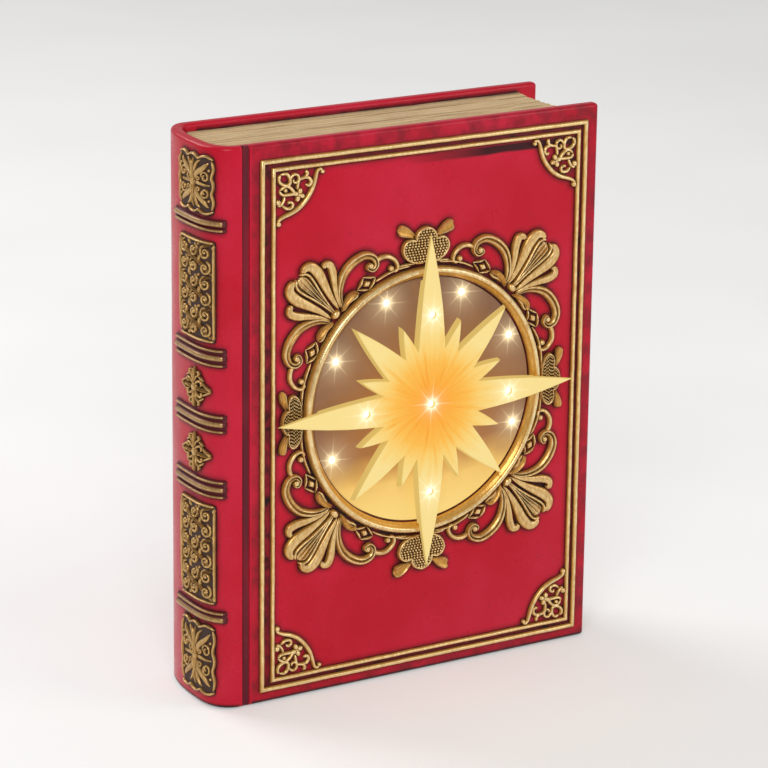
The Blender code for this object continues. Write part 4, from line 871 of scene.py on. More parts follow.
@dataclass
class Relief:
    """Raised work on a surface, gathered stroke by stroke into one mesh."""

    surface: Surface
    unit: float = UNIT
    mesh: bmesh.types.BMesh = field(default_factory=bmesh.new)
    heights: list[float] = field(default_factory=list)

    def point(self, a: float, b: float, lift: float, height: float) -> bmesh.types.BMVert:
        """Adds a point and notes its height.

        Args:
            a: Its first place on the surface.
            b: Its second place on the surface.
            lift: How far it stands off, in metres.
            height: The share that the finish goes by.

        Returns:
            The point.
        """
        self.heights.append(height)
        return self.mesh.verts.new(self.surface(a, b, lift))

    def stroke(
        self,
        points: Sequence[Point],
        widths: Sequence[float],
        height: float,
        section: Section = Section.RIDGE,
        steps: int = 5,
        flip: bool = False,
        rise: tuple[float, float] = (0.75, 0.9),
    ) -> None:
        """Adds a ridge along points.

        Args:
            points: Its centre line, in the relief's unit.
            widths: Its full width at each point.
            height: How far it stands out, in millimetres.
            section: Its cross-section.
            steps: How many steps each span gets.
            flip: Whether the section is turned about.
            rise: How high its two ends are, as shares.
        """
        path = smooth_path([Vector((a, b, w)) for (a, b), w in zip(points, widths)], steps)
        last = len(path) - 1
        stations = []
        for i, here in enumerate(path):
            ahead = (path[min(i + 1, last)] - path[max(i - 1, 0)]).to_2d()
            ahead.normalize()
            side = Vector((-ahead.y, ahead.x))
            share = i / last
            end = min(1.0, math.sqrt(min(i, last - i) / 2.5) * 0.75 + 0.25)
            lift = height * MM * min(
                1.0, rise[0] + (1 - rise[0]) * share * 3, rise[1] + (1 - rise[1]) * (1 - share) * 3
            )
            half = here.z / 2 * end
            spots = []
            for across, high in section.value:
                reach = -across if flip else across
                spot = here.to_2d() + side * (half * reach)
                spots.append(self.point(spot.x * self.unit, spot.y * self.unit, high * lift * end, high))
            stations.append(spots)
        self.close(stations)

    def close(self, stations: list[list[bmesh.types.BMVert]]) -> None:
        """Skins a row of cross-sections and closes its ends.

        Args:
            stations: The cross-sections, each a closed loop of as many points.
        """
        skin(self.mesh, stations)
        self.mesh.faces.new(stations[0])
        self.mesh.faces.new(stations[-1])

    def pad(
        self, centre: Point, radius: float, height: float, sides: int = 12, ratio: float = 1.0,
        turn: float = 0.0,
    ) -> None:
        """Adds a round or oval button.

        Args:
            centre: Its middle, in the relief's unit.
            radius: Its radius along its turned first axis.
            height: How far it stands out, in millimetres.
            sides: How many sides it has.
            ratio: Its second radius as a share of the first.
            turn: How far it is turned, in degrees.
        """
        loops = []
        for share, high in ((1.0, 0.0), (0.94, 0.5), (0.72, 0.86), (0.36, 1.0)):
            loop = []
            for i in range(sides):
                angle = math.tau * i / sides
                spot = Vector((radius * share * math.cos(angle), radius * share * ratio * math.sin(angle)))
                spot.rotate(Matrix.Rotation(math.radians(turn), 2))
                a, b = (centre[0] + spot.x) * self.unit, (centre[1] + spot.y) * self.unit
                loop.append(self.point(a, b, high * height * MM, high))
            loops.append(loop)
        self.close(loops)

    def plate(
        self, low: Callable[[float], float], high: Callable[[float], float], left: float, right: float,
        height: float, columns: int = 24, rows: int = 6,
    ) -> None:
        """Adds a thin plate between two edges.

        Args:
            low: The lower edge by place across, in the relief's unit.
            high: The upper edge by place across.
            left: Where it starts.
            right: Where it ends.
            height: How thick it is, in millimetres.
            columns: How many steps it has across.
            rows: How many steps it has upwards.
        """
        top, foot = [], []
        for i in range(columns + 1):
            a = left + (right - left) * i / columns
            rise = [low(a) + (high(a) - low(a)) * j / rows for j in range(rows + 1)]
            top.append([self.point(a * self.unit, b * self.unit, height * MM, 0.0) for b in rise])
            foot.append([self.point(a * self.unit, b * self.unit, 0.0, 0.0) for b in rise])
        for grid, flip in ((top, False), (foot, True)):
            for i in range(columns):
                for j in range(rows):
                    corners = [grid[i][j], grid[i + 1][j], grid[i + 1][j + 1], grid[i][j + 1]]
                    self.mesh.faces.new(reversed(corners) if flip else corners)
        rims = []
        for grid in (foot, top):
            far, back = [c[-1] for c in reversed(grid[:-1])], list(reversed(grid[0][1:-1]))
            rims.append([c[0] for c in grid] + grid[-1][1:] + far + back)
        skin(self.mesh, rims)

    def finished(self, name: str) -> Mesh:
        """Turns what was gathered into a mesh.

        Args:
            name: The mesh's name.

        Returns:
            The mesh.
        """
        return to_mesh(self.mesh, name, self.heights)


def to_mesh(shape: bmesh.types.BMesh, name: str, heights: Sequence[float] = ()) -> Mesh:
    """Closes a shape's making, with its faces pointing out.

    Args:
        shape: The gathered shape, which is freed.
        name: The mesh's name.
        heights: How high each point stands, as shares, where the finish needs it.

    Returns:
        The mesh.
    """
    bmesh.ops.recalc_face_normals(shape, faces=shape.faces)
    mesh = bpy.data.meshes.new(name)
    shape.to_mesh(mesh)
    shape.free()
    if heights:
        mesh.attributes.new(HEIGHT_NAME, "FLOAT", "POINT").data.foreach_set("value", list(heights))
    return mesh


def along_axis(axis: str, first: float, second: float, along: float) -> Vector:
    """A point from its two outline coordinates and its place along an axis.

    Args:
        axis: X, Y or Z.
        first: The first outline coordinate.
        second: The second one.
        along: The place along the axis.

    Returns:
        The point.
    """
    if axis == "X":
        return Vector((along, first, second))
    if axis == "Y":
        return Vector((first, along, second))
    return Vector((first, second, along))


def loft(name: str, sections: Sequence[tuple[Sequence[Point], float]], axis: str) -> Mesh:
    """Skins outlines that follow each other along an axis.

    Args:
        name: The mesh's name.
        sections: The outlines, each with its place along the axis.
        axis: "X", "Y" or "Z".

    Returns:
        The closed mesh.
    """
    shape = bmesh.new()
    loops = [
        [shape.verts.new(along_axis(axis, a, b, along)) for a, b in outline] for outline, along in sections
    ]
    shape.faces.new(loops[0])
    shape.faces.new(loops[-1])
    skin(shape, loops)
    return to_mesh(shape, name)


def rectangle(left: float, right: float, low: float, high: float) -> list[Point]:
    """The four corners of an upright rectangle."""
    return [(left, low), (right, low), (right, high), (left, high)]


def block(name: str, low: Sequence[float], high: Sequence[float]) -> Mesh:
    """A cutter between two corners."""
    outline = rectangle(low[0], high[0], low[1], high[1])
    return loft(name, [(outline, low[2]), (outline, high[2])], "Z")


def circle(radius: float, sides: int, centre: Point = (0.0, 0.0)) -> list[Point]:
    """A round outline."""
    turns = [math.tau * i / sides for i in range(sides)]
    return [(centre[0] + radius * math.cos(t), centre[1] + radius * math.sin(t)) for t in turns]


def rounded(name: str, mesh: Mesh, radius: float, segments: int = 2, least_angle: float = 40.0) -> Mesh:
    """Rounds a mesh's sharp edges.

    Args:
        name: The new name.
        mesh: The mesh, which is changed.
        radius: The rounding's radius.
        segments: How many steps it has.
        least_angle: The bend in degrees from which an edge counts as sharp.

    Returns:
        The same mesh.
    """
    shape = bmesh.new()
    shape.from_mesh(mesh)
    limit = math.radians(least_angle)
    edges = [e for e in shape.edges if len(e.link_faces) == 2 and e.calc_face_angle(0.0) > limit]
    bmesh.ops.bevel(
        shape, geom=edges, offset=radius, segments=segments, profile=0.5, affect="EDGES", clamp_overlap=True
    )
    bmesh.ops.recalc_face_normals(shape, faces=shape.faces)
    shape.to_mesh(mesh)
    shape.free()
    mesh.name = name
    return mesh


def carved(name: str, mesh: Mesh, cutters: Iterable[Mesh], joined: Iterable[Mesh] = ()) -> Mesh:
    """Joins some meshes to a mesh and cuts others out of it.

    Args:
        name: The result's name.
        mesh: What is carved.
        cutters: What is cut out.
        joined: What is joined to it first.

    Returns:
        The carved mesh.
    """
    base = bpy.data.objects.new(name, mesh)
    bpy.context.scene.collection.objects.link(base)
    tools = []
    for operation, group in (("UNION", joined), ("DIFFERENCE", cutters)):
        for cutter in group:
            tool = bpy.data.objects.new(f"{name}_tool_{len(tools)}", cutter)
            bpy.context.scene.collection.objects.link(tool)
            tools.append(tool)
            modifier = base.modifiers.new(tool.name, "BOOLEAN")
            modifier.object = tool
            modifier.operation = operation
    bpy.context.view_layer.update()
    result = bpy.data.meshes.new_from_object(base.evaluated_get(bpy.context.evaluated_depsgraph_get()))
    result.name = name
    for obj in [base, *tools]:
        bpy.data.objects.remove(obj, do_unlink=True)
    return result


@dataclass
class Piece:
    """A visible piece: what it stands for, what it rides on and which finish it has."""

    name: str
    mesh: Mesh
    material: Material
    slot: str
    nodes: tuple[str, ...]
    body: str = BODY_BOOK
    sharp: float = 38.0

    def place(self) -> bpy.types.Object:
        """Adds the piece to the scene.

        Returns:
            The new object.
        """
        obj = bpy.data.objects.new(self.name, self.mesh)
        bpy.context.scene.collection.objects.link(obj)
        self.mesh.materials.clear()
        self.mesh.materials.append(self.material)
        self.mesh.shade_smooth()
        self.mesh.set_sharp_from_angle(angle=math.radians(self.sharp))
        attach(obj, self.body)
        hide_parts(*self.nodes)
        LOG.info("%s: %d faces for %s", self.name, len(self.mesh.polygons), ", ".join(self.nodes))
        return obj


def spine_quarter(run: float, depth: float, power: float, towards: int, steps: int) -> list[Point]:
    """Points of one quarter of the spine's curve, from its crown to its board.

    Args:
        run: How far it reaches along X.
        depth: How far it reaches along Y.
        power: How square it is.
        towards: -1 for the front quarter, 1 for the rear one.
        steps: How many steps it has.

    Returns:
        The points.
    """
    points = []
    for i in range(steps + 1):
        turn = math.pi / 2 * i / steps
        x = SIZES.spine_x + run * (1 - math.cos(turn) ** (2 / power))
        points.append((x, SIZES.crown_y + towards * depth * math.sin(turn) ** (2 / power)))
    return points


def spine_profile(inset: float, steps: int = 22) -> list[Point]:
    """The spine's outline from the front board round to the back board.

    Args:
        inset: How far it lies inside the outer surface.
        steps: How many steps each quarter has.

    Returns:
        The points.
    """
    front_depth = SIZES.crown_y - SIZES.face_y - inset
    rear_depth = SIZES.back_y - SIZES.crown_y - inset
    front = spine_quarter(SIZES.spine_front_run - inset, front_depth, SIZES.spine_front_power, -1, steps)
    rear = spine_quarter(SIZES.spine_rear_run - inset, rear_depth, SIZES.spine_rear_power, 1, steps)
    return [(x + inset, y) for x, y in list(reversed(front)) + rear[1:]]


class SpineSurface:
    """Places points by their distance round the spine from its crown, their height and their lift."""

    def __init__(self, foot: float = 0.0) -> None:
        """Measures the curve.

        Args:
            foot: The height that counts as zero.
        """
        steps = 22
        self.foot = foot
        self.points = [Vector(p) for p in spine_profile(0.0, steps)]
        self.along = [0.0] * len(self.points)
        for i in range(steps + 1, len(self.points)):
            self.along[i] = self.along[i - 1] + (self.points[i] - self.points[i - 1]).length
        for i in range(steps - 1, -1, -1):
            self.along[i] = self.along[i + 1] - (self.points[i + 1] - self.points[i]).length

    def __call__(self, distance: float, height: float, lift: float) -> Vector:
        """The point in the row's frame.

        Args:
            distance: How far round the spine, negative towards the front.
            height: How far above the foot.
            lift: How far off the surface.

        Returns:
            The point.
        """
        here = self.at(distance)
        ahead = (self.at(distance + MM) - self.at(distance - MM)).normalized()
        outward = Vector((-ahead.y, ahead.x))
        if outward.x > 0:
            outward.negate()
        spot = here + outward * lift
        return Vector((spot.x, spot.y, self.foot + height))

    def at(self, distance: float) -> Vector:
        """The point on the curve at a distance from its crown.

        Args:
            distance: How far round from the crown.

        Returns:
            The point.
        """
        pairs = list(zip(zip(self.along, self.points), zip(self.along[1:], self.points[1:])))
        for (start, a), (end, b) in pairs:
            if distance <= end:
                break
        return a.lerp(b, (distance - start) / (end - start))


@dataclass
class Finishes:
    """Every material, made once."""

    lacquer: Material
    gilt: Material
    bright_gilt: Material
    spine_gilt: Material
    band_gilt: Material
    pages: Material
    window: Material
    star: Material
    led: Material
    black: Material
    steel: Material
    cell: Material
    circuit: Material
    sheath: Material


def lamp_places() -> tuple[list[Point], list[Point]]:
    """The window's and the star's lamp centres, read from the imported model.

    Returns:
        The window's (x, z) places and the star's.
    """
    places: dict[str, list[Point]] = {"window": [], "star": []}
    for name in sorted(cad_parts):
        for kind, found in places.items():
            if name.startswith(f"led_{kind}_"):
                low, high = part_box(name)
                found.append(((low[0] + high[0]) / 2, (low[2] + high[2]) / 2))
    return places["window"], places["star"]


def make_finishes() -> Finishes:
    """Makes every material.

    Returns:
        The materials.
    """
    window_lamps, star_lamps = (tuple(places) for places in lamp_places())
    return Finishes(
        lacquer=LacqueredResin().material(), gilt=GiltPaint().material(),
        bright_gilt=GiltPaint(
            "polished_gold_paint", "#E2B058", "#FFEBB8", "#BC8438", foot=(0.0, 0.26), roughness=0.24
        ).material(),
        spine_gilt=GiltPaint(
            "dull_gold_paint", "#B4894A", "#E8C07C", "#855F32", "#3C2012", (0.12, 0.56)
        ).material(),
        band_gilt=GiltPaint(
            "rubbed_gold_paint", "#A07A48", "#C7A066", "#7C5730", "#5A0C14", (0.5, 0.92)
        ).material(),
        pages=PaintedPages().material(),
        window=WindowPlastic("smoky_pearl_plastic", window_lamps, 15.0, 13.0).material(),
        star=StarPlastic("milky_amber_plastic", star_lamps, 11.0, 15.0).material(),
        led=PlainFinish("clear_moulded_epoxy", "#FFF6E0", "#FFE9BE", 0.3, glow=1.15).material(),
        black=PlainFinish("black_moulded_abs", "#17171A", "#202024", 0.5).material(),
        steel=PlainFinish("nickel_plated_steel", "#C9C7C2", "#A9A6A0", 0.28, 1.0, 0.6).material(),
        cell=ShrinkWrap().material(),
        circuit=PlainFinish("solder_masked_circuit_board", "#12552F", "#0E4326", 0.35, 0.0, 1.2).material(),
        sheath=PlainFinish("red_pvc_sheath", "#8E1A1A", "#7A1414", 0.45).material(),
    )


# The book


@dataclass
class Casting:
    """The red boards and spine, and the cast leaves between them."""

    finishes: Finishes
    edge_round: float = 1.4 * MM
    groove_width: float = 3.2 * MM
    groove_depth: float = 1.2 * MM
    overrun: float = 4.0 * MM
    leaf_inset: float = 2.9 * MM
    leaf_fore_inset: float = 9.1 * MM
    leaf_wall: float = 4.5 * MM
    gatherings: int = 46

    def build(self) -> None:
        """Makes the cover and the leaves."""
        Piece(
            "cover", self.cover_mesh(), self.finishes.lacquer, "cover_resin", ("cover_case",), sharp=30.0
        ).place()
        Piece(
            "leaves", self.leaves_mesh(), self.finishes.pages, "page_resin", ("page_block",), sharp=20.0
        ).place()

    def cover_mesh(self) -> Mesh:
        """The bent sheet of board, spine and board with its grooves and openings.

        Returns:
            The mesh.
        """
        s = SIZES
        outer = [(s.fore_x, s.face_y), *spine_profile(0.0), (s.fore_x, s.back_y)]
        inner = [(s.fore_x, s.face_y + s.board), *spine_profile(s.board), (s.fore_x, s.back_y - s.board)]
        outline = outer + list(reversed(inner))
        mesh = loft("cover", [(outline, 0.0), (outline, s.height)], "Z")
        mesh = rounded("cover", mesh, self.edge_round, 4, 50.0)
        return carved("cover", mesh, self.cutters(), self.posts())

    def cutters(self) -> list[Mesh]:
        """What is cut out of the cover.

        Returns:
            The cutters.
        """
        s = SIZES
        outside = s.back_y + self.overrun
        window = circle(s.window_radius, 96, (s.ring_x, s.ring_z))
        bay = s.bay_width / 2
        return [
            self.groove("front_groove", s.face_y, 1),
            self.groove("back_groove", s.back_y, -1),
            loft(
                "bore", [(window, s.face_y - self.overrun), (window, s.face_y + s.board + self.overrun)],
                "Y",
            ),
            block(
                "bay", (s.bay_x - bay, s.back_y - 2 * s.board, s.bay_low),
                (s.bay_x + bay, outside, s.bay_top),
            ),
            self.finger_notch(),
            self.stadium("switch_window", 14.0 * MM, 7.0 * MM, s.back_y - 2.4 * MM, outside),
            block(
                "slot", (s.bay_x - 4.4 * MM, s.back_y - 2 * s.board, s.switch_z - 1.7 * MM),
                (s.bay_x + 4.4 * MM, outside, s.switch_z + 1.7 * MM),
            ),
        ]

    def groove(self, name: str, face_y: float, towards: int) -> Mesh:
        """A rounded bar along the hinge line.

        Args:
            name: Its name.
            face_y: The board's surface.
            towards: 1 into the front board, -1 into the back board.

        Returns:
            The cutter.
        """
        half = self.groove_width / 2
        above = face_y - towards * self.overrun
        outline = [(SIZES.groove_x - half, above), (SIZES.groove_x + half, above)]
        for i in range(9):
            turn = math.pi * i / 8
            into = towards * self.groove_depth * math.sin(turn)
            outline.append((SIZES.groove_x + half * math.cos(turn), face_y + into))
        return loft(name, [(outline, -self.overrun), (outline, SIZES.height + self.overrun)], "Z")

    def stadium(self, name: str, width: float, height: float, low: float, high: float) -> Mesh:
        """A cutter with round ends for the switch's window.

        Args:
            name: Its name.
            width: Its length along X.
            height: How far it stands out, in millimetres.
            low: Where it starts in depth.
            high: Where it ends in depth.

        Returns:
            The cutter.
        """
        radius = height / 2
        reach = width / 2 - radius
        outline = []
        for i in range(24):
            turn = math.tau * (i + 0.5) / 24
            side = reach if math.cos(turn) > 0 else -reach
            outline.append(
                (SIZES.bay_x + side + radius * math.cos(turn), SIZES.switch_z + radius * math.sin(turn))
            )
        return loft(name, [(outline, low), (outline, high)], "Y")

    def finger_notch(self) -> Mesh:
        """The hollow below the battery door for a fingertip.

        Returns:
            The cutter.
        """
        s = SIZES
        sections = []
        for share in (0.0, 0.35, 0.7, 1.0):
            half = (5.6 + 1.4 * share) * MM
            drop = (1.8 + 1.2 * share) * MM
            outline = rectangle(s.bay_x - half, s.bay_x + half, s.bay_low - drop, s.bay_low + self.overrun)
            sections.append((outline, s.back_y - 2.4 * MM * (1 - share)))
        sections.append((outline, s.back_y + self.overrun))
        return loft("finger_notch", sections, "Y")

    def posts(self) -> list[Mesh]:
        """The two posts that carry the timer board, inside the back board.

        Returns:
            The posts.
        """
        s = SIZES
        low_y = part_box("timer_board")[1][1] + 0.3 * MM
        half = 1.5 * MM
        found = []
        for side in (-1, 1):
            x = s.bay_x + side * 14.0 * MM
            high = (x + half, s.back_y - s.board / 2, s.switch_z + half)
            found.append(block("post", (x - half, low_y, s.switch_z - half), high))
        return found

    def leaves_mesh(self) -> Mesh:
        """Gatherings of leaves side by side, each a hollow frame with its own ragged edge.

        Returns:
            The mesh.
        """
        s = SIZES
        shape = bmesh.new()
        dice = random.Random(7)
        front = s.face_y + s.board + 0.3 * MM
        back = s.back_y - s.board - 0.3 * MM
        inner_spine = spine_profile(s.board + 0.3 * MM)
        pitch = (back - front) / self.gatherings
        fore = s.fore_x - self.leaf_fore_inset
        for layer in range(self.gatherings):
            low_y, high_y = front + layer * pitch, front + (layer + 1) * pitch
            middle = (low_y + high_y) / 2
            left = self.spine_reach(inner_spine, middle)
            share = (middle - front) / (back - front)
            bow = 1.0 * MM * math.sin(math.pi * share)
            ragged = 0.0 if layer in (0, self.gatherings - 1) else dice.uniform(0.0, 0.55) * MM
            wave = dice.uniform(0.0, 40.0)
            outer = self.leaf_outline(
                left, fore - bow - ragged * 0.8, self.leaf_inset + ragged,
                s.height - self.leaf_inset - ragged, wave,
            )
            hollow = self.leaf_outline(
                left + 11.0 * MM, fore - 7.0 * MM, self.leaf_inset + self.leaf_wall,
                s.height - self.leaf_inset - self.leaf_wall, None,
            )
            rings = []
            for outline, y in ((outer, low_y), (outer, high_y), (hollow, high_y), (hollow, low_y)):
                rings.append([shape.verts.new((a, y, b)) for a, b in outline])
            skin(shape, rings, True)
        return to_mesh(shape, "leaves")

    @staticmethod
    def spine_reach(profile: Sequence[Point], y: float) -> float:
        """Where the inside of the spine lies at a depth.

        Args:
            profile: The inside curve.
            y: The depth.

        Returns:
            Its place along X.
        """
        best = max(p[0] for p in profile)
        for (x1, y1), (x2, y2) in zip(profile, profile[1:]):
            if min(y1, y2) <= y <= max(y1, y2) and y1 != y2:
                best = min(best, x1 + (x2 - x1) * (y - y1) / (y2 - y1))
        return best

    @staticmethod
    def leaf_outline(left: float, right: float, low: float, high: float, wave: float | None) -> list[Point]:
        """An upright rectangle in small steps, its edges a little uneven.

        Args:
            left: Its spine side.
            right: Its fore side.
            low: Its foot.
            high: Its head.
            wave: Where its unevenness starts, or None for straight edges.

        Returns:
            The outline.
        """
        steps = 18
        corners = rectangle(left, right, low, high)
        points = []
        for start, end in zip(corners, corners[1:] + corners[:1]):
            for i in range(steps):
                a = start[0] + (end[0] - start[0]) * i / steps
                b = start[1] + (end[1] - start[1]) * i / steps
                if wave is not None and i:
                    shift = abs(noise.noise(Vector((a * 60, b * 60, wave)))) * 0.35 * MM
                    across = start[0] == end[0]
                    inward = -1 if (across and a > 0) or (not across and b > 0.1) else 1
                    a, b = (a + inward * shift, b) if across else (a, b + inward * shift)
                points.append((a, b))
        return points


@dataclass
class FrontRelief:
    """The gilt work of the front cover: frame lines, ring, fans, crests and corner scrolls."""

    finishes: Finishes
    height: float = 2.15
    line_height: float = 1.0 * MM

    def build(self) -> None:
        """Makes every piece of it."""
        s = SIZES
        gilt = self.finishes.bright_gilt
        outer = self.line_mesh(
            "outer_line", s.frame_left, s.frame_right, s.frame_foot, s.frame_top, 1.9 * MM
        )
        Piece("outer_line", outer, gilt, "gilt_resin", ("frame_line_outer",)).place()
        low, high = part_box("frame_line_inner")
        inner = self.line_mesh("inner_line", low[0], high[0], low[2], high[2], 1.7 * MM)
        Piece("inner_line", inner, gilt, "gilt_resin", ("frame_line_inner",)).place()
        Piece("ring", self.ring_mesh(), gilt, "gilt_resin", ("bezel_ring",), sharp=60.0).place()
        for vertical, z_side in (("top", 1), ("bottom", -1)):
            for horizontal, x_side in (("left", -1), ("right", 1)):
                place = f"{vertical}_{horizontal}"
                fan = self.fan_mesh(f"fan_{place}", x_side, z_side)
                Piece(
                    f"fan_{place}", fan, self.finishes.gilt, "gilt_resin", (f"palmette_{place}",),
                    sharp=55.0,
                ).place()
                corner = self.corner_mesh(f"corner_{place}", x_side, z_side)
                Piece(
                    f"corner_{place}", corner, gilt, "gilt_resin", (f"corner_scroll_{place}",), sharp=55.0
                ).place()
        for i, name in enumerate(("top", "right", "bottom", "left")):
            crest = self.crest_mesh(f"flower_{name}", i * 90.0, 1.0 if i % 2 == 0 else 0.62)
            Piece(
                f"flower_{name}", crest, self.finishes.gilt, "gilt_resin", (f"crest_{name}",), sharp=55.0
            ).place()

    def line_mesh(self, name: str, left: float, right: float, low: float, top: float, width: float) -> Mesh:
        """A half-round bead about a rectangle, its edge slightly uneven as if painted by hand.

        Args:
            name: Its name.
            left: Its outer left edge.
            right: Its outer right edge.
            low: Its outer foot.
            top: Its outer head.
            width: The bead's width.

        Returns:
            The mesh.
        """
        shape = bmesh.new()
        section = (
            (0.0, 0.0), (0.05, 0.45), (0.2, 0.85), (0.42, 1.0), (0.62, 0.98), (0.84, 0.78), (0.96, 0.4),
            (1.0, 0.0),
        )
        steps = 36
        loops = []
        heights = []
        for share, rise in section:
            inset = share * width
            corners = rectangle(left + inset, right - inset, low + inset, top - inset)
            loop = []
            for start, end in zip(corners, corners[1:] + corners[:1]):
                for i in range(steps):
                    a = start[0] + (end[0] - start[0]) * i / steps
                    b = start[1] + (end[1] - start[1]) * i / steps
                    sway = noise.noise(Vector((a * 90, b * 90, 3.0))) * 0.12 * MM if 0 < i else 0.0
                    if start[0] == end[0]:
                        a += sway
                    else:
                        b += sway
                    drop = 1 - 0.12 * abs(noise.noise(Vector((a * 120, b * 120, 9.0))))
                    loop.append(
                        shape.verts.new((a, SIZES.face_y - rise * self.line_height * drop * 1.2, b))
                    )
                    heights.append(rise)
            loops.append(loop)
        skin(shape, loops, True)
        return to_mesh(shape, name, heights)

    def ring_mesh(self) -> Mesh:
        """The turned ring: a full bead with a thin lip inside it.

        Returns:
            The mesh.
        """
        profile = (
            (53.3, 0.0, 0.0), (53.28, 0.7, 0.3), (53.15, 1.6, 0.7), (52.85, 2.5, 0.85), (52.35, 3.15, 1.0),
            (51.75, 3.35, 1.0), (51.2, 3.15, 0.95), (50.8, 2.65, 0.7), (50.6, 2.25, 0.45),
            (50.35, 2.1, 0.6), (49.9, 1.7, 0.75), (49.45, 1.1, 0.7), (49.22, 0.6, 0.5), (49.2, 0.0, 0.0),
        )
        shape = bmesh.new()
        rings = []
        heights = []
        for radius, rise, height in profile:
            ring = circle(radius * MM, 160, (SIZES.ring_x, SIZES.ring_z))
            rings.append([shape.verts.new((a, SIZES.face_y - rise * MM, b)) for a, b in ring])
            heights += [height] * len(ring)
        skin(shape, rings, True)
        return to_mesh(shape, "ring", heights)

    def quarter(self, x_side: int, z_side: int) -> Surface:
        """The front face in one quarter, measured outwards from the ring's middle."""
        return lambda a, b, lift: Vector(
            (SIZES.ring_x + x_side * a, SIZES.face_y - lift, SIZES.ring_z + z_side * b)
        )

    def fan_mesh(self, name: str, x_side: int, z_side: int) -> Mesh:
        """The shell-shaped fan with a scroll on each side.

        Args:
            name: Its name.
            x_side: -1 for the left, 1 for the right.
            z_side: -1 for the foot, 1 for the head.

        Returns:
            The mesh.
        """
        relief = Relief(self.quarter(x_side, z_side))
        self.shell(relief)
        for swap in (False, True):

            def turned(points: Sequence[Point], swapped: bool = swap) -> list[Point]:
                """The points, changed over where needed."""
                return [(b, a) if swapped else (a, b) for a, b in points]

            h = self.height * (0.985 if swap else 1.0)
            outer = (
                (35.6, 38.6), (39.0, 43.5), (41.8, 48.5), (44.3, 53.0), (47.2, 55.6), (49.9, 55.2),
                (50.6, 53.2),
            )
            relief.stroke(turned(outer), (1.0, 2.2, 3.4, 4.2, 3.7, 2.6, 1.5), h, Section.PETAL, 6, swap)
            inner = (
                (34.9, 39.0), (36.8, 43.6), (37.8, 48.5), (38.4, 52.6), (39.6, 55.4), (41.6, 55.7),
                (42.2, 54.2),
            )
            relief.stroke(
                turned(inner), (0.9, 1.6, 2.4, 3.0, 2.9, 2.2, 1.4), h * 0.94, Section.PETAL, 6, swap
            )
            scroll = (
                (34.0, 38.6), (35.3, 43.0), (35.1, 47.5), (33.4, 51.8), (29.8, 55.2), (25.4, 56.9),
                (21.8, 55.9), (20.6, 53.3), (22.0, 51.5), (23.9, 52.2), (23.6, 53.6),
            )
            relief.stroke(
                turned(scroll), (1.2, 2.2, 2.9, 3.4, 3.5, 3.2, 2.8, 2.3, 2.0, 1.8, 1.6), h * 0.97,
                Section.DOUBLE, 6, swap,
            )
            relief.pad(turned([(23.0, 52.9)])[0], 1.25, h * 0.95)
            tendril = (
                (21.2, 53.4), (18.6, 55.2), (15.4, 55.3), (12.7, 53.6), (11.6, 51.3), (12.4, 49.8),
                (13.9, 50.0),
            )
            relief.stroke(
                turned(tendril), (1.5, 1.9, 1.9, 1.7, 1.5, 1.3, 1.1), h * 0.8, Section.RIDGE, 5, swap
            )
            relief.pad(turned([(14.4, 50.9)])[0], 1.15, h * 0.85)
            self.rim_line(relief, swap, h)
            self.jewel(relief, swap, h)
            bud = ((34.2, 37.6), (33.0, 40.4), (30.9, 43.0), (28.9, 43.8), (28.2, 42.9))
            relief.stroke(turned(bud), (1.2, 2.1, 2.3, 1.7, 1.2), h * 0.9, Section.CHANNEL, 5, swap)
            twig = ((33.0, 39.2), (31.0, 41.2), (28.9, 42.2), (27.6, 43.6))
            relief.stroke(turned(twig), (1.0, 1.5, 1.3, 0.9), h * 0.75, Section.RIDGE, 4, swap)
        return relief.finished(name)

    def shell(self, relief: Relief) -> None:
        """The middle lobe: a dark hollow with a rim and three ribs.

        Args:
            relief: What it is added to.
        """
        root = Vector((36.6, 36.6))
        ahead = Vector((1.0, 1.0)).normalized()
        side = Vector((-ahead.y, ahead.x))

        def at(along: float, across: float) -> Point:
            """A place on the lobe, from its root."""
            spot = root + ahead * along + side * across
            return (spot.x, spot.y)

        relief.stroke(
            [at(t, 0.0) for t in (2.0, 8.0, 14.0, 18.0, 20.5, 21.6)], (0.8, 2.2, 4.4, 5.8, 5.2, 3.0),
            self.height * 0.42,
        )
        for flip in (-1, 1):
            rim = (
                (0.0, 0.15), (6.0, 0.75), (11.5, 1.7), (16.0, 2.75), (19.3, 3.2), (21.4, 2.5), (22.4, 0.9)
            )
            relief.stroke(
                [at(t, flip * a) for t, a in rim], (0.8, 1.0, 1.15, 1.2, 1.2, 1.2, 1.1),
                self.height * (1.0 - 0.02 * flip),
            )
            rib = ((6.0, 0.3), (11.0, 0.8), (15.5, 1.35), (19.2, 1.7), (21.0, 1.3))
            relief.stroke(
                [at(t, flip * a) for t, a in rib], (0.4, 0.7, 0.8, 0.8, 0.6), self.height * 0.86, steps=4
            )
        relief.stroke(
            [at(t, 0.0) for t in (1.0, 7.0, 13.0, 18.0, 22.0)], (1.4, 1.0, 0.8, 0.9, 0.9),
            self.height * 0.92, steps=4,
        )
        relief.pad(at(0.6, 0.0), 2.0, self.height * 0.96, 16, 0.7, -45.0)

    def rim_line(self, relief: Relief, swap: bool, height: float) -> None:
        """The thin line that runs beside the ring from the fan to the flower.

        Args:
            relief: What it is added to.
            swap: Whether its two places change over.
            height: How far it stands out, in millimetres.
        """
        points = []
        for i in range(8):
            turn = math.radians(66.0 + 17.5 * i / 7)
            reach = 51.1 + 0.5 * math.sin(math.pi * i / 7)
            a, b = reach * math.cos(turn), reach * math.sin(turn)
            points.append((b, a) if swap else (a, b))
        relief.stroke(points, [0.9] * 8, height * 0.72, steps=3)

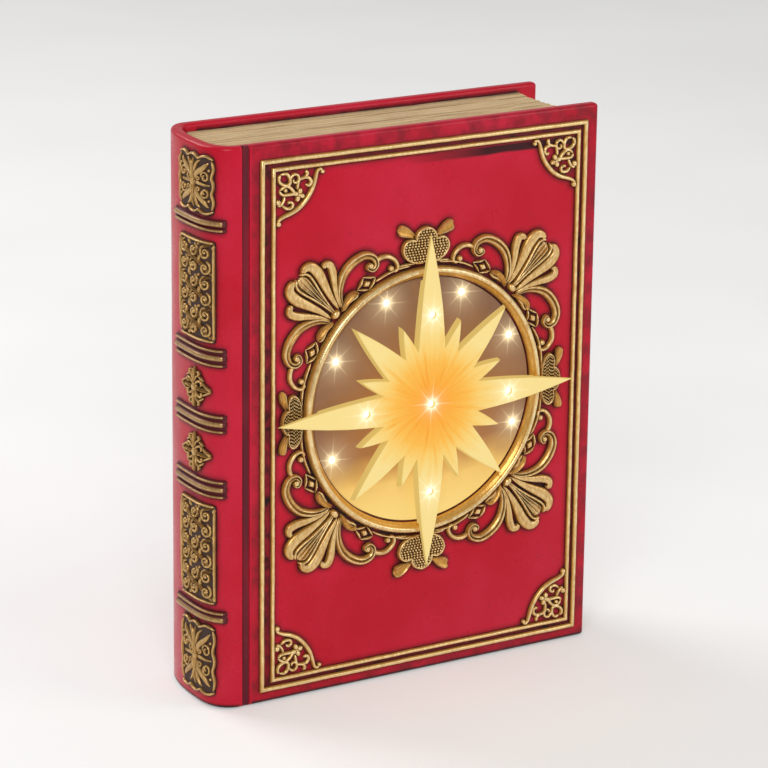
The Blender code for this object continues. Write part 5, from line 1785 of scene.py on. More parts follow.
    def jewel(self, relief: Relief, swap: bool, height: float) -> None:
        """The lozenge with a pyramid in it.

        Args:
            relief: What it is added to.
            swap: Whether its two places change over.
            height: How far it stands out, in millimetres.
        """
        middle = Vector((24.3, 46.5))
        along = Vector((0.885, -0.465))
        across = Vector((0.465, 0.885))
        corners = [middle + along * 4.1, middle + across * 2.7, middle - along * 4.3, middle - across * 2.6]
        for start, end in zip(corners, corners[1:] + corners[:1]):
            pair = [(v.y, v.x) if swap else (v.x, v.y) for v in (start, start.lerp(end, 0.5), end)]
            relief.stroke(pair, (1.0, 1.0, 1.0), height * 0.8, steps=2)
        centre = (middle.y, middle.x) if swap else (middle.x, middle.y)
        turn = 27.7 + 90.0 if swap else -27.7
        relief.pad(centre, 1.7, height * 0.75, 4, 0.75, turn)

    def crest_mesh(self, name: str, degrees: float, outward: float) -> Mesh:
        """The stippled flower at the ring's head, side or foot.

        Args:
            name: Its name.
            degrees: How far round from the head it lies, clockwise.
            outward: How far it reaches from the ring, as a share.

        Returns:
            The mesh.
        """
        turn = math.radians(degrees)

        def surface(a: float, b: float, lift: float) -> Vector:
            """A place on the front face, turned round the ring.

            Args:
                a: The place across.
                b: The distance from the ring's middle.
                lift: How far it stands out.

            Returns:
                The point.
            """
            out = SIZES.ring_radius + (b - SIZES.ring_radius) * outward if b > SIZES.ring_radius else b
            x = a * math.cos(turn) + out * math.sin(turn)
            z = -a * math.sin(turn) + out * math.cos(turn)
            return Vector((SIZES.ring_x + x, SIZES.face_y - lift, SIZES.ring_z + z))

        relief = Relief(surface)
        h = self.height
        outline = (
            (0.0, 51.4), (3.2, 51.5), (5.6, 52.1), (8.2, 53.8), (9.5, 56.6), (8.7, 59.0), (6.6, 60.2),
            (4.3, 59.7), (4.1, 61.2), (2.6, 63.2), (0.0, 64.1),
        )
        rim = [*outline, *((-a, b) for a, b in reversed(outline[1:-1])), outline[0]]
        relief.stroke(rim, [1.15] * len(rim), h * 0.95, steps=3)
        self.net(relief, outline, h)
        for side in (-1, 1):
            leaf = ((4.3, 60.9), (6.2, 62.0), (8.4, 63.2), (10.4, 64.0), (11.7, 64.2))
            relief.stroke(
                [(side * a, b) for a, b in leaf], (1.0, 2.4, 4.0, 4.3, 2.6), h * 0.9, Section.CHANNEL, 5,
                side > 0,
            )
            foot = ((3.4, 51.3), (7.0, 51.4), (10.6, 51.0))
            relief.stroke([(side * a, b) for a, b in foot], (1.0, 0.95, 0.85), h * 0.7, steps=4)
        return relief.finished(name)

    def net(self, relief: Relief, outline: Sequence[Point], height: float) -> None:
        """Fills the flower with a low pad and rows of dots.

        Args:
            relief: What it is added to.
            outline: The right half of the flower's rim, from its foot to its head.
            height: How far it stands out, in millimetres.
        """

        def reach(b: float) -> float:
            """How far out the rim lies at a height.

            Args:
                b: The height.

            Returns:
                The distance.
            """
            wide = [0.0]
            for (a1, b1), (a2, b2) in zip(outline, outline[1:]):
                if b1 != b2 and min(b1, b2) <= b <= max(b1, b2):
                    wide.append(a1 + (a2 - a1) * (b - b1) / (b2 - b1))
            return max(wide)

        rows = 13
        low, high = outline[0][1] + 0.5, outline[-1][1] - 0.6
        for row in range(rows):
            b = low + (high - low) * row / (rows - 1)
            limit = reach(b) - 0.7
            count = max(1, round(2 * limit / 1.25))
            for i in range(count + 1):
                a = -limit + 2 * limit * i / count if limit > 0.4 else 0.0
                relief.pad((a, b), 0.6, height * 0.85, 6)

    def corner_mesh(self, name: str, x_side: int, z_side: int) -> Mesh:
        """The openwork scroll in a corner of the frame.

        Args:
            name: Its name.
            x_side: -1 for the left, 1 for the right.
            z_side: -1 for the foot, 1 for the head.

        Returns:
            The mesh.
        """
        low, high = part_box("frame_line_inner")
        wide = 1.7 * MM
        corner_x = low[0] + wide if x_side < 0 else high[0] - wide
        corner_z = low[2] + wide if z_side < 0 else high[2] - wide

        def surface(a: float, b: float, lift: float) -> Vector:
            """A place on the front face."""
            return Vector((corner_x - x_side * a, SIZES.face_y - lift, corner_z - z_side * b))

        relief = Relief(surface)
        h = 1.38
        arc = (
            (18.6, 1.6), (17.6, 0.7), (16.5, 1.5), (15.7, 4.0), (14.6, 7.2), (12.6, 10.4), (9.9, 13.2),
            (6.6, 15.1), (3.2, 16.2), (1.2, 17.3), (0.7, 18.5),
        )
        relief.stroke(arc, (1.3, 1.3, 1.3, 1.5, 1.7, 1.8, 1.8, 1.7, 1.5, 1.35, 1.4), h)
        relief.pad((1.0, 18.6), 1.05, h)
        relief.pad((18.5, 1.7), 0.8, h)
        loop = (
            (2.0, 1.2), (4.3, 1.1), (5.6, 3.0), (5.3, 4.9), (3.4, 5.1), (1.5, 3.8), (1.2, 2.2), (2.0, 1.2)
        )
        pod = ((1.4, 7.0), (3.4, 5.6), (5.5, 6.0), (7.2, 8.2), (4.6, 8.5), (2.5, 8.3), (1.4, 7.0))
        curl = (
            (5.6, 4.4), (6.0, 2.6), (7.4, 1.5), (8.9, 2.2), (9.0, 3.8), (7.9, 4.6), (6.9, 4.0), (7.2, 3.1)
        )
        branch = ((12.1, 0.5), (12.5, 2.0), (11.3, 3.1), (9.3, 3.6), (8.7, 5.4), (8.5, 7.4))
        hook = ((10.6, 3.3), (12.9, 3.3), (14.1, 4.8), (13.3, 6.1), (11.8, 5.6))
        stem = ((3.6, 8.6), (3.0, 10.6), (1.7, 12.0), (0.6, 11.9))
        scroll = ((2.4, 11.9), (4.2, 13.4), (6.3, 13.3), (6.7, 11.9), (5.4, 11.2), (4.8, 12.0))
        for points, widths, share in (
            (loop, [1.3] * 8, 0.9),
            (pod, (1.3, 1.2, 1.3, 1.4, 1.3, 1.2, 1.3), 0.92),
            (curl, (1.2, 1.15, 1.15, 1.1, 1.05, 1.0, 0.95, 0.9), 0.86),
            (branch, (1.9, 1.35, 1.15, 1.15, 1.15, 1.2), 0.88),
            (hook, (1.15, 1.3, 1.4, 1.25, 1.3), 0.84),
            (stem, (1.1, 1.15, 1.2, 1.3), 0.86),
            (scroll, (1.15, 1.3, 1.3, 1.2, 1.1, 1.0), 0.83),
        ):
            relief.stroke(points, widths, h * share, steps=4)
        relief.pad((3.8, 6.9), 0.8, h * 0.85)
        relief.pad((0.9, 10.9), 1.1, h * 0.95)
        for turn in (0.0, 90.0, 180.0, 270.0):
            reach = Vector((1.35, 0.0))
            reach.rotate(Matrix.Rotation(math.radians(turn + 20.0), 2))
            relief.pad((9.1 + reach.x, 9.0 + reach.y), 1.25, h * 0.95, 10, 0.75, turn + 20.0)
        relief.pad((9.1, 9.0), 0.6, h * 1.05, 8)
        return relief.finished(name)


@dataclass
class SpineWork:
    """The gilt panels, rosettes and raised bands round the spine."""

    finishes: Finishes
    lift: float = 1.65
    half_width: float = 11.2

    def build(self) -> None:
        """Makes every piece of it."""
        for i in (1, 2, 3, 4):
            node = f"spine_panel_{i}"
            mesh = self.scalloped_panel(node) if i in (1, 4) else self.lattice_panel(node)
            Piece(f"panel_{i}", mesh, self.finishes.spine_gilt, "gilt_resin", (node,), sharp=55.0).place()
        for i in (1, 2):
            node = f"spine_rosette_{i}"
            Piece(
                f"rosette_{i}", self.rosette(node), self.finishes.spine_gilt, "gilt_resin", (node,),
                sharp=55.0,
            ).place()
        for i, ridges in enumerate((2, 3, 3, 3, 2)):
            node = f"spine_band_{i + 1}"
            Piece(
                f"band_{i + 1}", self.band(node, ridges), self.finishes.band_gilt, "gilt_resin", (node,),
                sharp=50.0,
            ).place()

    def relief(self, node: str) -> tuple[Relief, float]:
        """A relief on the spine with its middle at a node's own, in millimetres.

        Args:
            node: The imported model's node.

        Returns:
            The relief and half the node's height in millimetres.
        """
        low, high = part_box(node)
        return Relief(SpineSurface((low[2] + high[2]) / 2), MM), (high[2] - low[2]) / 2 / MM

    def border(self, relief: Relief, half: float, wave: float) -> None:
        """A raised rim round a panel, straight or scalloped.

        Args:
            relief: The relief.
            half: Half the panel's height.
            wave: How deep its scallops are.
        """
        wide = self.half_width - 0.6

        def edge(a: float) -> float:
            """How far up the rim lies."""
            return half - 0.6 - wave * (1 - abs(math.sin(math.pi * 3 * (a + wide) / (2 * wide))))

        count = 24
        top = [(-wide + 2 * wide * i / count, edge(-wide + 2 * wide * i / count)) for i in range(count + 1)]
        relief.stroke(top, [1.1] * len(top), self.lift * 0.95, steps=2)
        relief.stroke([(a, -b) for a, b in top], [1.1] * len(top), self.lift * 0.95, steps=2)
        rows = 14
        for side in (-1, 1):
            points = []
            for i in range(rows + 1):
                share = i / rows
                b = -edge(wide) + 2 * edge(wide) * share
                draw = wave * 0.8 * (1 - abs(math.sin(math.pi * 3 * share)))
                points.append((side * (wide - draw), b))
            relief.stroke(points, [1.1] * len(points), self.lift * 0.93, steps=2)

    def lattice_panel(self, node: str) -> Mesh:
        """A panel of spirals between crossing bands.

        Args:
            node: The node that it stands for.

        Returns:
            The mesh.
        """
        relief, half = self.relief(node)
        wide = self.half_width
        relief.plate(lambda a: 0.2 - half, lambda a: half - 0.2, 0.2 - wide, wide - 0.2, 0.5, 24, 8)
        self.border(relief, half, 0.0)
        rows = 6
        pitch = (2 * half - 3.0) / rows
        for row in range(rows):
            z = -half + 1.5 + pitch * (row + 0.5)
            for column in (-1, 0, 1):
                x = column * 6.9
                handed = 1 if (row + column) % 2 else -1
                curl = spiral((x, z), 2.75, 0.5, handed * 1.4, 90.0, 14)
                relief.stroke(curl, [1.3 - 0.03 * i for i in range(14)], self.lift * 0.9, steps=3)
                relief.pad((x, z), 0.75, self.lift * 0.95, 8)
                relief.pad((x + 3.45, z + pitch * 0.5), 0.7, self.lift * 0.8, 6)
                leaf = (
                    (x + handed * 2.6, z + 1.2), (x + handed * 3.6, z + 2.6),
                    (x + handed * 3.0, z + pitch * 0.5),
                )
                relief.stroke(leaf, (0.9, 1.5, 0.7), self.lift * 0.75, steps=4)
                relief.stroke(
                    [(2 * x - a, 2 * z - b) for a, b in leaf], (0.9, 1.5, 0.7), self.lift * 0.73, steps=4
                )
        self.crossing(relief, half, wide)
        return relief.finished(node + "_work")

    def crossing(self, relief: Relief, half: float, wide: float) -> None:
        """The two sets of bands that cross the panel and weave over each other.

        Args:
            relief: What it is added to.
            half: Half the height.
            wide: Half the width.
        """
        span = 2 * (half - 1.0) / 3
        for k in range(3):
            low = -half + 1.0 + k * span
            for side in (-1, 1):
                points = []
                for i in range(9):
                    share = i / 8
                    bend = 1.3 * math.sin(math.tau * share) * side
                    points.append(
                        (side * (-wide + 1.0 + (2 * wide - 2.0) * share), low + span * share + bend)
                    )
                relief.stroke(
                    points, [1.15] * 9, self.lift * (0.97 if side > 0 else 0.9), Section.CHANNEL, 3
                )

    def scalloped_panel(self, node: str) -> Mesh:
        """A panel with a scalloped rim round an upright leaf and its scrolls.

        Args:
            node: The node that it stands for.

        Returns:
            The mesh.
        """
        relief, half = self.relief(node)
        wide = self.half_width
        wave = 1.2

        def edge(a: float) -> float:
            """How far up the rim lies."""
            return half - 0.3 - wave * (1 - abs(math.sin(math.pi * 3 * (a + wide) / (2 * wide))))

        relief.plate(lambda a: -edge(a), edge, 0.6 - wide, wide - 0.6, 0.5, 36, 8)
        self.border(relief, half, wave)
        tall = half / 11.5
        for side in (-1, 1):

            def at(points: Sequence[Point], s: int = side) -> list[Point]:
                """The points in the relief's own places."""
                return [(s * a, b * tall) for a, b in points]

            for swap in (-1, 1):
                leaf = ((0.4, 0.6), (1.8, 3.2), (4.2, 5.0), (6.6, 6.6), (8.6, 8.6))
                relief.stroke(
                    [(a, b * swap) for a, b in at(leaf)], (0.9, 2.0, 2.4, 1.9, 1.0),
                    self.lift * (0.95 + 0.02 * swap), Section.PETAL, 4, side > 0,
                )
                frond = ((0.3, 2.4), (1.2, 5.4), (2.4, 7.6), (4.4, 9.2))
                relief.stroke(
                    [(a, b * swap) for a, b in at(frond)], (0.8, 1.5, 1.4, 0.8),
                    self.lift * (0.88 + 0.02 * swap), steps=4,
                )
                curl = spiral((7.0, 3.0), 2.2, 0.5, -1.3, 200.0, 12)
                relief.stroke(
                    [(a, b * swap) for a, b in at(curl)], [1.0] * 12, self.lift * (0.9 + 0.02 * swap),
                    steps=3,
                )
                small = spiral((3.4, 2.2), 1.2, 0.3, 1.2, 90.0, 9)
                relief.stroke(
                    [(a, b * swap) for a, b in at(small)], [0.8] * 9, self.lift * (0.84 + 0.02 * swap),
                    steps=3,
                )
                relief.pad((side * 9.0, swap * 5.8 * tall), 0.7, self.lift * 0.85, 8)
            relief.stroke(
                at(((0.6, 0.0), (3.4, 0.3), (6.2, 0.0), (9.4, 0.0))), (1.4, 1.5, 1.1, 0.8),
                self.lift * 0.86, Section.PETAL, 4,
            )
        relief.stroke(
            [(0.0, b * tall) for b in (-9.6, -5.0, 0.0, 5.0, 9.6)], (0.9, 1.6, 2.3, 1.6, 0.9),
            self.lift * 0.99, Section.CHANNEL, 5,
        )
        relief.pad((0.0, 0.0), 1.5, self.lift, 12)
        return relief.finished(node + "_work")

    def rosette(self, node: str) -> Mesh:
        """An openwork lozenge of four buds round a middle.

        Args:
            node: The node that it stands for.

        Returns:
            The mesh.
        """
        relief, half = self.relief(node)
        tall = half / 8.2
        for side in (-1, 1):
            for swap in (-1, 1):

                def at(points: Sequence[Point], s: int = side, w: int = swap) -> list[Point]:
                    """The points in the relief's own places."""
                    return [(s * a, w * b * tall) for a, b in points]

                rise = self.lift * (0.92 + 0.02 * side + 0.01 * swap)
                relief.stroke(
                    at(((0.3, 0.5), (2.0, 2.4), (4.3, 3.0), (5.0, 1.8), (3.9, 1.2))),
                    (0.8, 1.2, 1.2, 1.0, 0.9), rise,
                )
                relief.stroke(
                    at(((0.2, 1.4), (1.2, 4.0), (2.9, 5.0), (3.2, 6.2), (2.0, 6.6))),
                    (0.7, 1.0, 1.0, 0.9, 0.8), rise * 0.95,
                )
                relief.stroke(
                    at(((2.6, 4.8), (4.4, 4.2), (5.6, 3.2))), (0.7, 1.1, 0.8), rise * 0.9, steps=4
                )
                relief.stroke(
                    at(((5.0, 2.6), (6.6, 1.6), (8.6, 0.5), (9.2, 0.1))), (0.9, 1.1, 1.3, 0.9), rise * 0.93,
                    steps=4,
                )
            relief.stroke(
                [(side * a, 0.0) for a in (0.5, 3.0, 6.0, 9.0)], (1.4, 1.2, 1.4, 1.0), self.lift * 0.9,
                Section.CHANNEL, 4,
            )
            relief.stroke(
                [(0.0, side * b * tall) for b in (0.5, 3.0, 6.0, 8.0)], (1.4, 1.3, 1.7, 0.9),
                self.lift * 0.94, Section.CHANNEL, 4,
            )
        relief.pad((0.0, 0.0), 1.9, self.lift, 12)
        return relief.finished(node + "_work")

    def band(self, node: str, ridges: int) -> Mesh:
        """Raised lines right across the spine: gilt on top, with dark valleys between.

        Args:
            node: The node that it stands for.
            ridges: Two, a broad one and a fine one, or three, a broad one between two fine ones.

        Returns:
            The mesh.
        """
        relief, half = self.relief(node)
        if ridges == 3:
            lines = [(-half + 0.75, 1.0), (0.0, 2.1), (half - 0.75, 1.0)]
        elif node.endswith("1"):
            lines = [(-half + 0.75, 1.1), (half - 1.5, 2.2)]
        else:
            lines = [(-half + 1.5, 2.2), (half - 0.75, 1.1)]
        section: list[tuple[float, float, float]] = [(-half, 0.0, 0.0), (-half, 0.12, 0.0)]
        for middle, width in lines:
            for share, rise in (
                (-0.72, 0.12), (-0.5, 0.55), (-0.32, 0.9), (-0.12, 1.0), (0.12, 1.0), (0.32, 0.9),
                (0.5, 0.55), (0.72, 0.12),
            ):
                place = max(-half, min(half, middle + share * width))
                section.append((place, rise * (0.82 if width < 1.5 else 1.0), rise))
        section += [(half, 0.12, 0.0), (half, 0.0, 0.0)]
        stations = []
        steps = 44
        for i in range(steps + 1):
            distance = -15.2 + 31.7 * i / steps
            end = min(i, steps - i)
            fade = min(1.0, 0.3 + end / 2)
            spots = []
            for b, rise, height in section:
                gilt = height if end > 1 else height * 0.2
                spots.append(relief.point(distance * MM, b * MM, rise * self.lift * MM * fade, gilt))
            stations.append(spots)
        relief.close(stations)
        return relief.finished(node + "_work")


@dataclass
class LitWindow:
    """The window, the raised star and the lamps."""

    finishes: Finishes
    plate_foot: float = 3.3 * MM
    lamp_radius: float = 1.5 * MM
    lamp_hole: float = 1.53 * MM

    def build(self) -> None:
        """Makes every piece of it."""
        Piece(
            "window", self.window_mesh(), self.finishes.window, "window_plastic", ("window_cup",),
            sharp=35.0,
        ).place()
        Piece(
            "star", self.star_mesh(), self.finishes.star, "star_plastic", ("star_relief",), sharp=28.0
        ).place()
        for name in sorted(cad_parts):
            if name.startswith(("led_window_", "led_star_")):
                mesh = self.lamp_mesh(name)
                Piece(
                    name.replace("led_", "lamp_"), mesh, self.finishes.led, "led_lens", (name,), sharp=50.0
                ).place()

    def bores(self, places: Sequence[Point]) -> list[Mesh]:
        """Round cutters at the lamps.

        Args:
            places: The lamps' centres.

        Returns:
            The cutters.
        """
        found = []
        for x, z in places:
            outline = circle(self.lamp_hole, 20, (x, z))
            found.append(
                loft("bore", [(outline, SIZES.face_y - 12 * MM), (outline, SIZES.face_y + 5 * MM)], "Y")
            )
        return found

    def window_mesh(self) -> Mesh:
        """The turned cup: a disc that fills the opening, a flange behind the board and a skirt.

        Returns:
            The mesh.
        """
        low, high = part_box("window_cup")
        disc = SIZES.window_radius - 0.3 * MM
        front = SIZES.face_y - 0.4 * MM
        flange = SIZES.face_y + SIZES.board + 0.3 * MM
        profile = (
            (disc - 0.6 * MM, front), (disc - 0.15 * MM, front + 0.15 * MM), (disc, front + 0.6 * MM),
            (disc, flange), ((high[0] - low[0]) / 2, flange), ((high[0] - low[0]) / 2, flange + 2.0 * MM),
            (48.4 * MM, flange + 2.0 * MM), (48.4 * MM, high[1]), (46.8 * MM, high[1]),
            (46.8 * MM, front + 2.0 * MM),
        )
        centre = (SIZES.ring_x, SIZES.ring_z)
        mesh = loft("window", [(circle(radius, 128, centre), y) for radius, y in profile], "Y")
        window, star = lamp_places()
        return carved("window", mesh, self.bores(window + star))

    def star_outline(self) -> list[Point]:
        """The sixteen-point star about zero, with slightly bellied arms.

        Returns:
            The outline in metres.
        """
        bore = SIZES.ring_bore
        tips = (1.372, 0.703, 0.984, 0.703)
        turns = (0.70, 0.40, 0.60, 0.30)
        corners = []
        for i in range(16):
            arm = i % 4
            corners.append((math.tau * i / 16, tips[arm] * bore))
            corners.append((math.tau * (i + turns[arm]) / 16, 0.467 * bore))
        points = [Vector((r * math.cos(t), r * math.sin(t))) for t, r in corners]
        outline = []
        for start, end in zip(points, points[1:] + points[:1]):
            edge = end - start
            outward = Vector((edge.y, -edge.x)).normalized()
            belly = edge.length * 0.022
            for i in range(6):
                share = i / 6
                outline.append(start.lerp(end, share) + outward * (belly * math.sin(math.pi * share)))
        return [(p.x, p.y) for p in outline]

    @staticmethod
    def drawn_in(outline: Sequence[Point], inset: float) -> list[Point]:
        """An outline moved inwards by the same width everywhere.

        Args:
            outline: The outline, anticlockwise.
            inset: How far it moves.

        Returns:
            The new outline.
        """
        points = [Vector(p) for p in outline]
        moved = []
        for before, here, after in zip(points[-1:] + points[:-1], points, points[1:] + points[:1]):
            first = (here - before).normalized()
            second = (after - here).normalized()
            inward = Vector((-first.y - second.y, first.x + second.x)) / 2
            length = max(inward.length, 0.13)
            spot = here + inward.normalized() * (inset / length)
            moved.append((spot.x, spot.y))
        return moved

    def star_mesh(self) -> Mesh:
        """The star: steep walls, a soft edge and a top that rises a little to its middle.

        Returns:
            The mesh.
        """
        outline = self.star_outline()
        base = SIZES.face_y - 0.7 * MM
        shape = bmesh.new()
        loops = []
        foot = self.foot_outline(outline)
        for y in (base, SIZES.face_y - self.plate_foot):
            loops.append([shape.verts.new((SIZES.ring_x + a, y, SIZES.ring_z + b)) for a, b in foot])
        for inset, lift in ((0.0, self.plate_foot / MM), (0.12, 6.0), (0.3, 6.6), (0.65, 6.9)):
            loop = []
            for a, b in self.drawn_in(outline, inset * MM):
                fallen = self.droop(a, b) if lift > 4 else 0.0
                y = SIZES.face_y - (lift - fallen) * MM
                loop.append(shape.verts.new((SIZES.ring_x + a, y, SIZES.ring_z + b)))
            loops.append(loop)
        skin(shape, loops)
        shape.faces.new(loops[0])
        self.star_top(shape, loops[-1])
        mesh = to_mesh(shape, "star")
        low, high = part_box("bezel_ring")
        top = low[1] - 0.35 * MM
        inner, outer = SIZES.ring_bore - 0.3 * MM, 75 * MM
        ring = bmesh.new()
        rings = []
        for radius, y in (
            (inner, top), (outer, top), (outer, SIZES.face_y + 5 * MM), (inner, SIZES.face_y + 5 * MM)
        ):
            rings.append(
                [ring.verts.new((a, y, b)) for a, b in circle(radius, 96, (SIZES.ring_x, SIZES.ring_z))]
            )
        skin(ring, rings, True)
        return carved("star", mesh, [to_mesh(ring, "over_ring"), *self.bores(lamp_places()[1])])

    @staticmethod
    def foot_outline(outline: Sequence[Point]) -> list[Point]:
        """The slimmer star that the raised plate stands on.

        Args:
            outline: The plate's outline, six points to an edge, from the first tip on.

        Returns:
            The foot's outline, with as many points.
        """
        found = []
        for i, (a, b) in enumerate(outline):
            corner, step = divmod(i, 6)
            if corner % 2 and step == 0:
                found.append((a * 0.9, b * 0.9))
                continue
            turn = math.tau * ((corner + 1) // 2) / 16
            cos, sin = math.cos(turn), math.sin(turn)
            along, across = (a * cos + b * sin) * 0.8, (b * cos - a * sin) * 0.55
            found.append((along * cos - across * sin, along * sin + across * cos))
        return found

    @staticmethod
    def droop(a: float, b: float) -> float:
        """How far an arm has dropped at a place, in millimetres: nothing inside, most at the long tips."""
        return 1.6 * max(0.0, math.hypot(a, b) / MM - 36) / 31.5

    def star_top(self, shape: bmesh.types.BMesh, rim: list[bmesh.types.BMVert]) -> None:
        """Closes the star's top with rings that shrink to the middle, folded in from every notch.

        Args:
            shape: The star's shape.
            rim: The top's outer loop.
        """
        loops = [rim]
        steps = len(rim) // 16
        notch = steps // 2
        for share in (0.9, 0.78, 0.64, 0.5, 0.36, 0.22, 0.1):
            loop = []
            for i, vertex in enumerate(rim):
                a, b = (vertex.co.x - SIZES.ring_x) * share, (vertex.co.z - SIZES.ring_z) * share
                fold = 0.32 * share if i % steps == notch else 0.0
                y = SIZES.face_y - (6.9 + 0.06 * (1 - share) - self.droop(a, b) - fold) * MM
                loop.append(shape.verts.new((SIZES.ring_x + a, y, SIZES.ring_z + b)))
            loops.append(loop)
        skin(shape, loops)
        shape.faces.new(loops[-1])

    def lamp_mesh(self, name: str) -> Mesh:
        """A lamp with its dome, its collar and its legs.

        Args:
            name: The node that it stands for.

        Returns:
            The mesh.
        """
        low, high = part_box(name)
        x, z = (low[0] + high[0]) / 2, (low[2] + high[2]) / 2
        tip = low[1]
        radius = self.lamp_radius
        profile = [
            (radius * math.sin(math.radians(a)), tip + radius * (1 - math.cos(math.radians(a))))
            for a in (10, 26, 44, 62, 80)
        ]
        collar = max(tip + 4.5 * MM, SIZES.face_y + (2.2 if "star" in name else 2.0) * MM)
        profile += [
            (radius, tip + radius * 1.2), (radius, collar), (radius * 1.08, collar),
            (radius * 1.08, collar + 0.7 * MM),
        ]
        body = loft(name, [(circle(r, 24, (x, z)), y) for r, y in profile], "Y")
        wire = 0.25 * MM
        legs = []
        for side in (-0.75, 0.75):
            centre = x + side * MM
            corner = (centre + wire, high[1], z + wire)
            legs.append(block("leg", (centre - wire, collar, z - wire), corner))
        return carved(name, body, (), legs)


@dataclass
class BackFittings:
    """The battery door, the switch's knob and what lies behind them."""

    finishes: Finishes

    def build(self) -> None:
        """Makes the door and the knob and dresses the rest."""
        Piece(
            "door", self.door_mesh(), self.finishes.black, "black_plastic", ("battery_door",), BODY_DOOR,
            35.0,
        ).place()
        Piece(
            "knob", self.knob_mesh(), self.finishes.black, "black_plastic", ("switch_knob",), BODY_KNOB,
            35.0,
        ).place()
        dressed = {
            "battery_tray": self.finishes.black, "switch_housing": self.finishes.steel,
            "door_hinge_pin": self.finishes.steel, "timer_board": self.finishes.circuit,
            "led_board": self.finishes.circuit, "battery_lead": self.finishes.sheath,
            "led_lead": self.finishes.sheath,
        }
        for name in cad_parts:
            if name.startswith(("contact_", "cell_spring_")):
                dressed[name] = self.finishes.steel
            elif name.startswith("battery_cell_"):
                dressed[name] = self.finishes.cell
        for name, material in dressed.items():
            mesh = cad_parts[name].data
            mesh.materials.clear()
            mesh.materials.append(material)
            LOG.info("%s: dressed as %s", name, material.name)

    def door_mesh(self) -> Mesh:
        """The lid with a fine border groove, grip ridges, barrel and snap tongue.

        Returns:
            The mesh.
        """
        s = SIZES
        half = s.bay_width / 2 - 0.3 * MM
        foot = s.bay_low + 0.3 * MM
        neck = s.hinge_z - 2.4 * MM
        inner = s.back_y - 2.2 * MM
        plate = rounded(
            "plate", block("plate", (s.bay_x - half, inner, foot), (s.bay_x + half, s.back_y, neck)),
            0.35 * MM, 3,
        )
        middle = half - 3.3 * MM
        bridge = block(
            "bridge", (s.bay_x - middle, inner + 0.1 * MM, neck - 0.5 * MM),
            (s.bay_x + middle, s.back_y, s.hinge_z),
        )
        barrel_outline = circle(2.4 * MM, 32, (s.hinge_y, s.hinge_z))
        barrel = loft(
            "barrel",
            [(barrel_outline, s.bay_x - middle + 0.3 * MM), (barrel_outline, s.bay_x + middle - 0.3 * MM)],
            "X",
        )
        tongue = block(
            "tongue", (s.bay_x - 5 * MM, inner - 4.6 * MM, foot + 0.1 * MM),
            (s.bay_x + 5 * MM, inner + 1.1 * MM, foot + 1.5 * MM),
        )
        nose = block(
            "nose", (s.bay_x - 4.7 * MM, inner - 4.5 * MM, foot - 0.7 * MM),
            (s.bay_x + 4.7 * MM, inner - 3.3 * MM, foot + 0.7 * MM),
        )
        cutters = [self.border_groove(half, foot, neck)]
        pin = circle(1.1 * MM, 24, (s.hinge_y, s.hinge_z))
        cutters.append(loft("pin", [(pin, s.bay_x - s.bay_width), (pin, s.bay_x + s.bay_width)], "X"))
        for i in range(5):
            z = foot + (3.2 + 1.5 * i) * MM
            reach = (8.0 - abs(i - 2) * 1.1) * MM
            corner = (s.bay_x + reach, s.back_y + MM, z + 0.7 * MM)
            cutters.append(block("grip", (s.bay_x - reach, s.back_y - 0.5 * MM, z), corner))
        return carved("door", plate, cutters, [bridge, barrel, tongue, nose])

    @staticmethod
    def border_groove(half: float, foot: float, neck: float) -> Mesh:
        """A shallow line inside the door's edge.

        Args:
            half: Half the height.
            foot: The door's foot.
            neck: The plate's top edge.

        Returns:
            The cutter.
        """
        s = SIZES
        shape = bmesh.new()
        loops = []
        for inset, y in ((2.2, 1.0), (2.2, -0.35), (2.8, -0.35), (2.8, 1.0)):
            step = inset * MM
            corners = rectangle(s.bay_x - half + step, s.bay_x + half - step, foot + step, neck - step)
            loops.append([shape.verts.new((a, s.back_y + y * MM, b)) for a, b in corners])
        skin(shape, loops, True)
        return to_mesh(shape, "border_groove")

    def knob_mesh(self) -> Mesh:
        """The knob with rounded edges and three finger ridges.

        Returns:
            The mesh.
        """
        low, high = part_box("switch_knob")
        outline: list[Point] = [(low[0], low[1]), (high[0], low[1])]
        pitch = (high[0] - low[0]) / 5
        for i in range(5):
            right = high[0] - i * pitch
            level = high[1] if i % 2 == 0 else high[1] - 0.4 * MM
            outline += [(right - 0.08 * MM, level), (right - pitch + 0.08 * MM, level)]
        return rounded("knob", loft("knob", [(outline, low[2]), (outline, high[2])], "Z"), 0.1 * MM, 2)


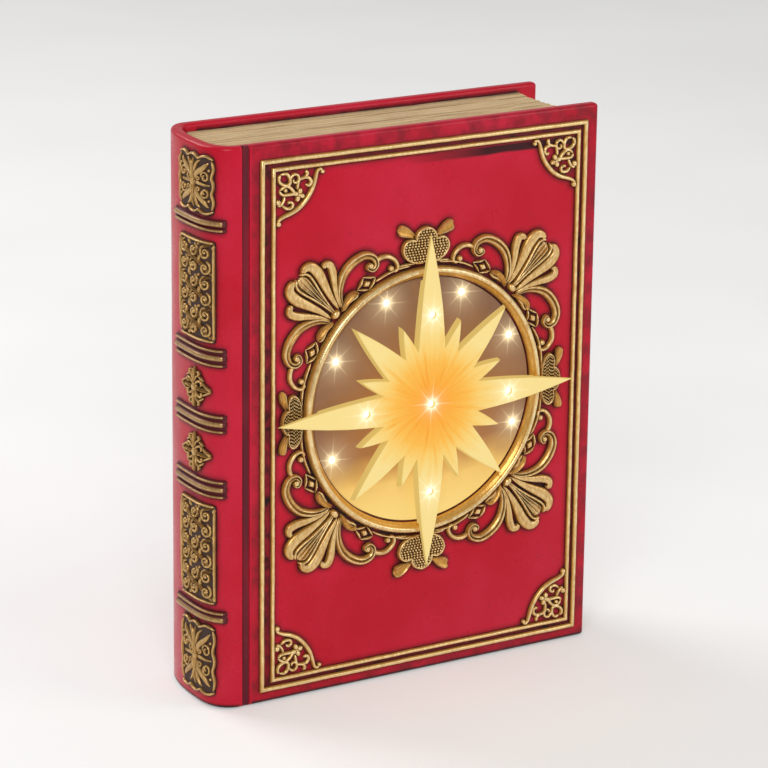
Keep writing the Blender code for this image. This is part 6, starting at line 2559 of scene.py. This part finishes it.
@dataclass
class Studio:
    """The pale floor, the soft light and the camera."""

    camera_place: tuple[float, float, float] = (-0.68494, -1.11836, 0.51088)
    right: tuple[float, float, float] = (0.85386, -0.52038, 0.01150)
    down: tuple[float, float, float] = (-0.14158, -0.25346, -0.95693)
    forward: tuple[float, float, float] = (0.50088, 0.81545, -0.29009)
    lens: float = 165.0

    def build(self) -> None:
        """Makes the studio."""
        self.floor()
        self.world()
        self.lamp("key", (-0.9, -1.3, 1.2), 0.9, 14.0)
        self.lamp("fill", (1.1, -1.0, 0.7), 0.9, 5.0)
        self.lamp("back", (-0.5, 1.1, 1.1), 0.8, 9.0)
        self.camera()
        settings = bpy.context.scene.view_settings
        settings.view_transform = "Standard"

    def floor(self) -> None:
        """A pale, wide, slightly mottled floor."""
        coat = Coat("pale_matt_painted_board")
        grain = coat.add("MapRange", coat.mottle(180.0, 2.0), 0.3, 0.7)
        colour = coat.add("Mix", grain, linear("#E9E8E6"), linear("#EFEEEC"), data_type="RGBA")
        path = coat.add("LightPath").node.outputs
        seen = coat.add("Math", path["Is Camera Ray"], path["Is Glossy Ray"], operation="MAXIMUM")
        glow = coat.add("Math", seen, 0.22, operation="MULTIPLY")
        coat.set(
            Base_Color=colour, Roughness=0.85, Emission_Color=linear("#FFFFFF"), Emission_Strength=glow
        )
        shape = bmesh.new()
        bmesh.ops.create_grid(shape, x_segments=8, y_segments=8, size=6.0)
        obj = bpy.data.objects.new("floor", to_mesh(shape, "floor"))
        obj.location.z = -0.0004
        obj.data.materials.append(coat.material)
        bpy.context.scene.collection.objects.link(obj)

    def world(self) -> None:
        """An even soft light, seen as white."""
        world = bpy.data.worlds.new("soft_studio")
        bpy.context.scene.world = world
        world.use_nodes = True
        tree = world.node_tree
        shade = tree.nodes["Background"]
        seen = add_node(tree, "LightPath").node.outputs["Is Camera Ray"]
        feed(
            tree, shade.inputs["Strength"],
            add_node(tree, "Math", seen, 0.58, 0.38, operation="MULTIPLY_ADD"),
        )
        shade.inputs["Color"].default_value = (1.0, 1.0, 1.0, 1.0)

    def lamp(self, name: str, place: tuple[float, float, float], size: float, power: float) -> None:
        """A square soft lamp that faces the book's middle.

        Args:
            name: Its name.
            place: Where it stands.
            size: Its side.
            power: Its power in watts.
        """
        data = bpy.data.lights.new(name, "AREA")
        data.shape = "SQUARE"
        data.size = size
        data.energy = power
        obj = bpy.data.objects.new(name, data)
        obj.location = place
        aim = Vector((0.0, 0.0, SIZES.height / 2)) - Vector(place)
        obj.rotation_euler = aim.to_track_quat("-Z", "Y").to_euler()
        bpy.context.scene.collection.objects.link(obj)

    def camera(self) -> None:
        """The photograph's viewpoint."""
        data = bpy.data.cameras.new("camera")
        data.lens = self.lens
        data.sensor_width = 36.0
        data.clip_start = 0.05
        obj = bpy.data.objects.new("camera", data)
        columns = (Vector(self.right), -Vector(self.down), -Vector(self.forward))
        turn = Matrix([[c[i] for c in columns] for i in range(3)])
        obj.matrix_world = Matrix.Translation(self.camera_place) @ turn.to_4x4()
        bpy.context.scene.collection.objects.link(obj)
        bpy.context.scene.camera = obj


def main() -> None:
    """Builds the whole scene."""
    logging.basicConfig(level=logging.INFO, format="%(name)s: %(message)s")
    Studio().build()
    finishes = make_finishes()
    Casting(finishes).build()
    FrontRelief(finishes).build()
    SpineWork(finishes).build()
    LitWindow(finishes).build()
    BackFittings(finishes).build()


if __name__ == "__main__":
    main()
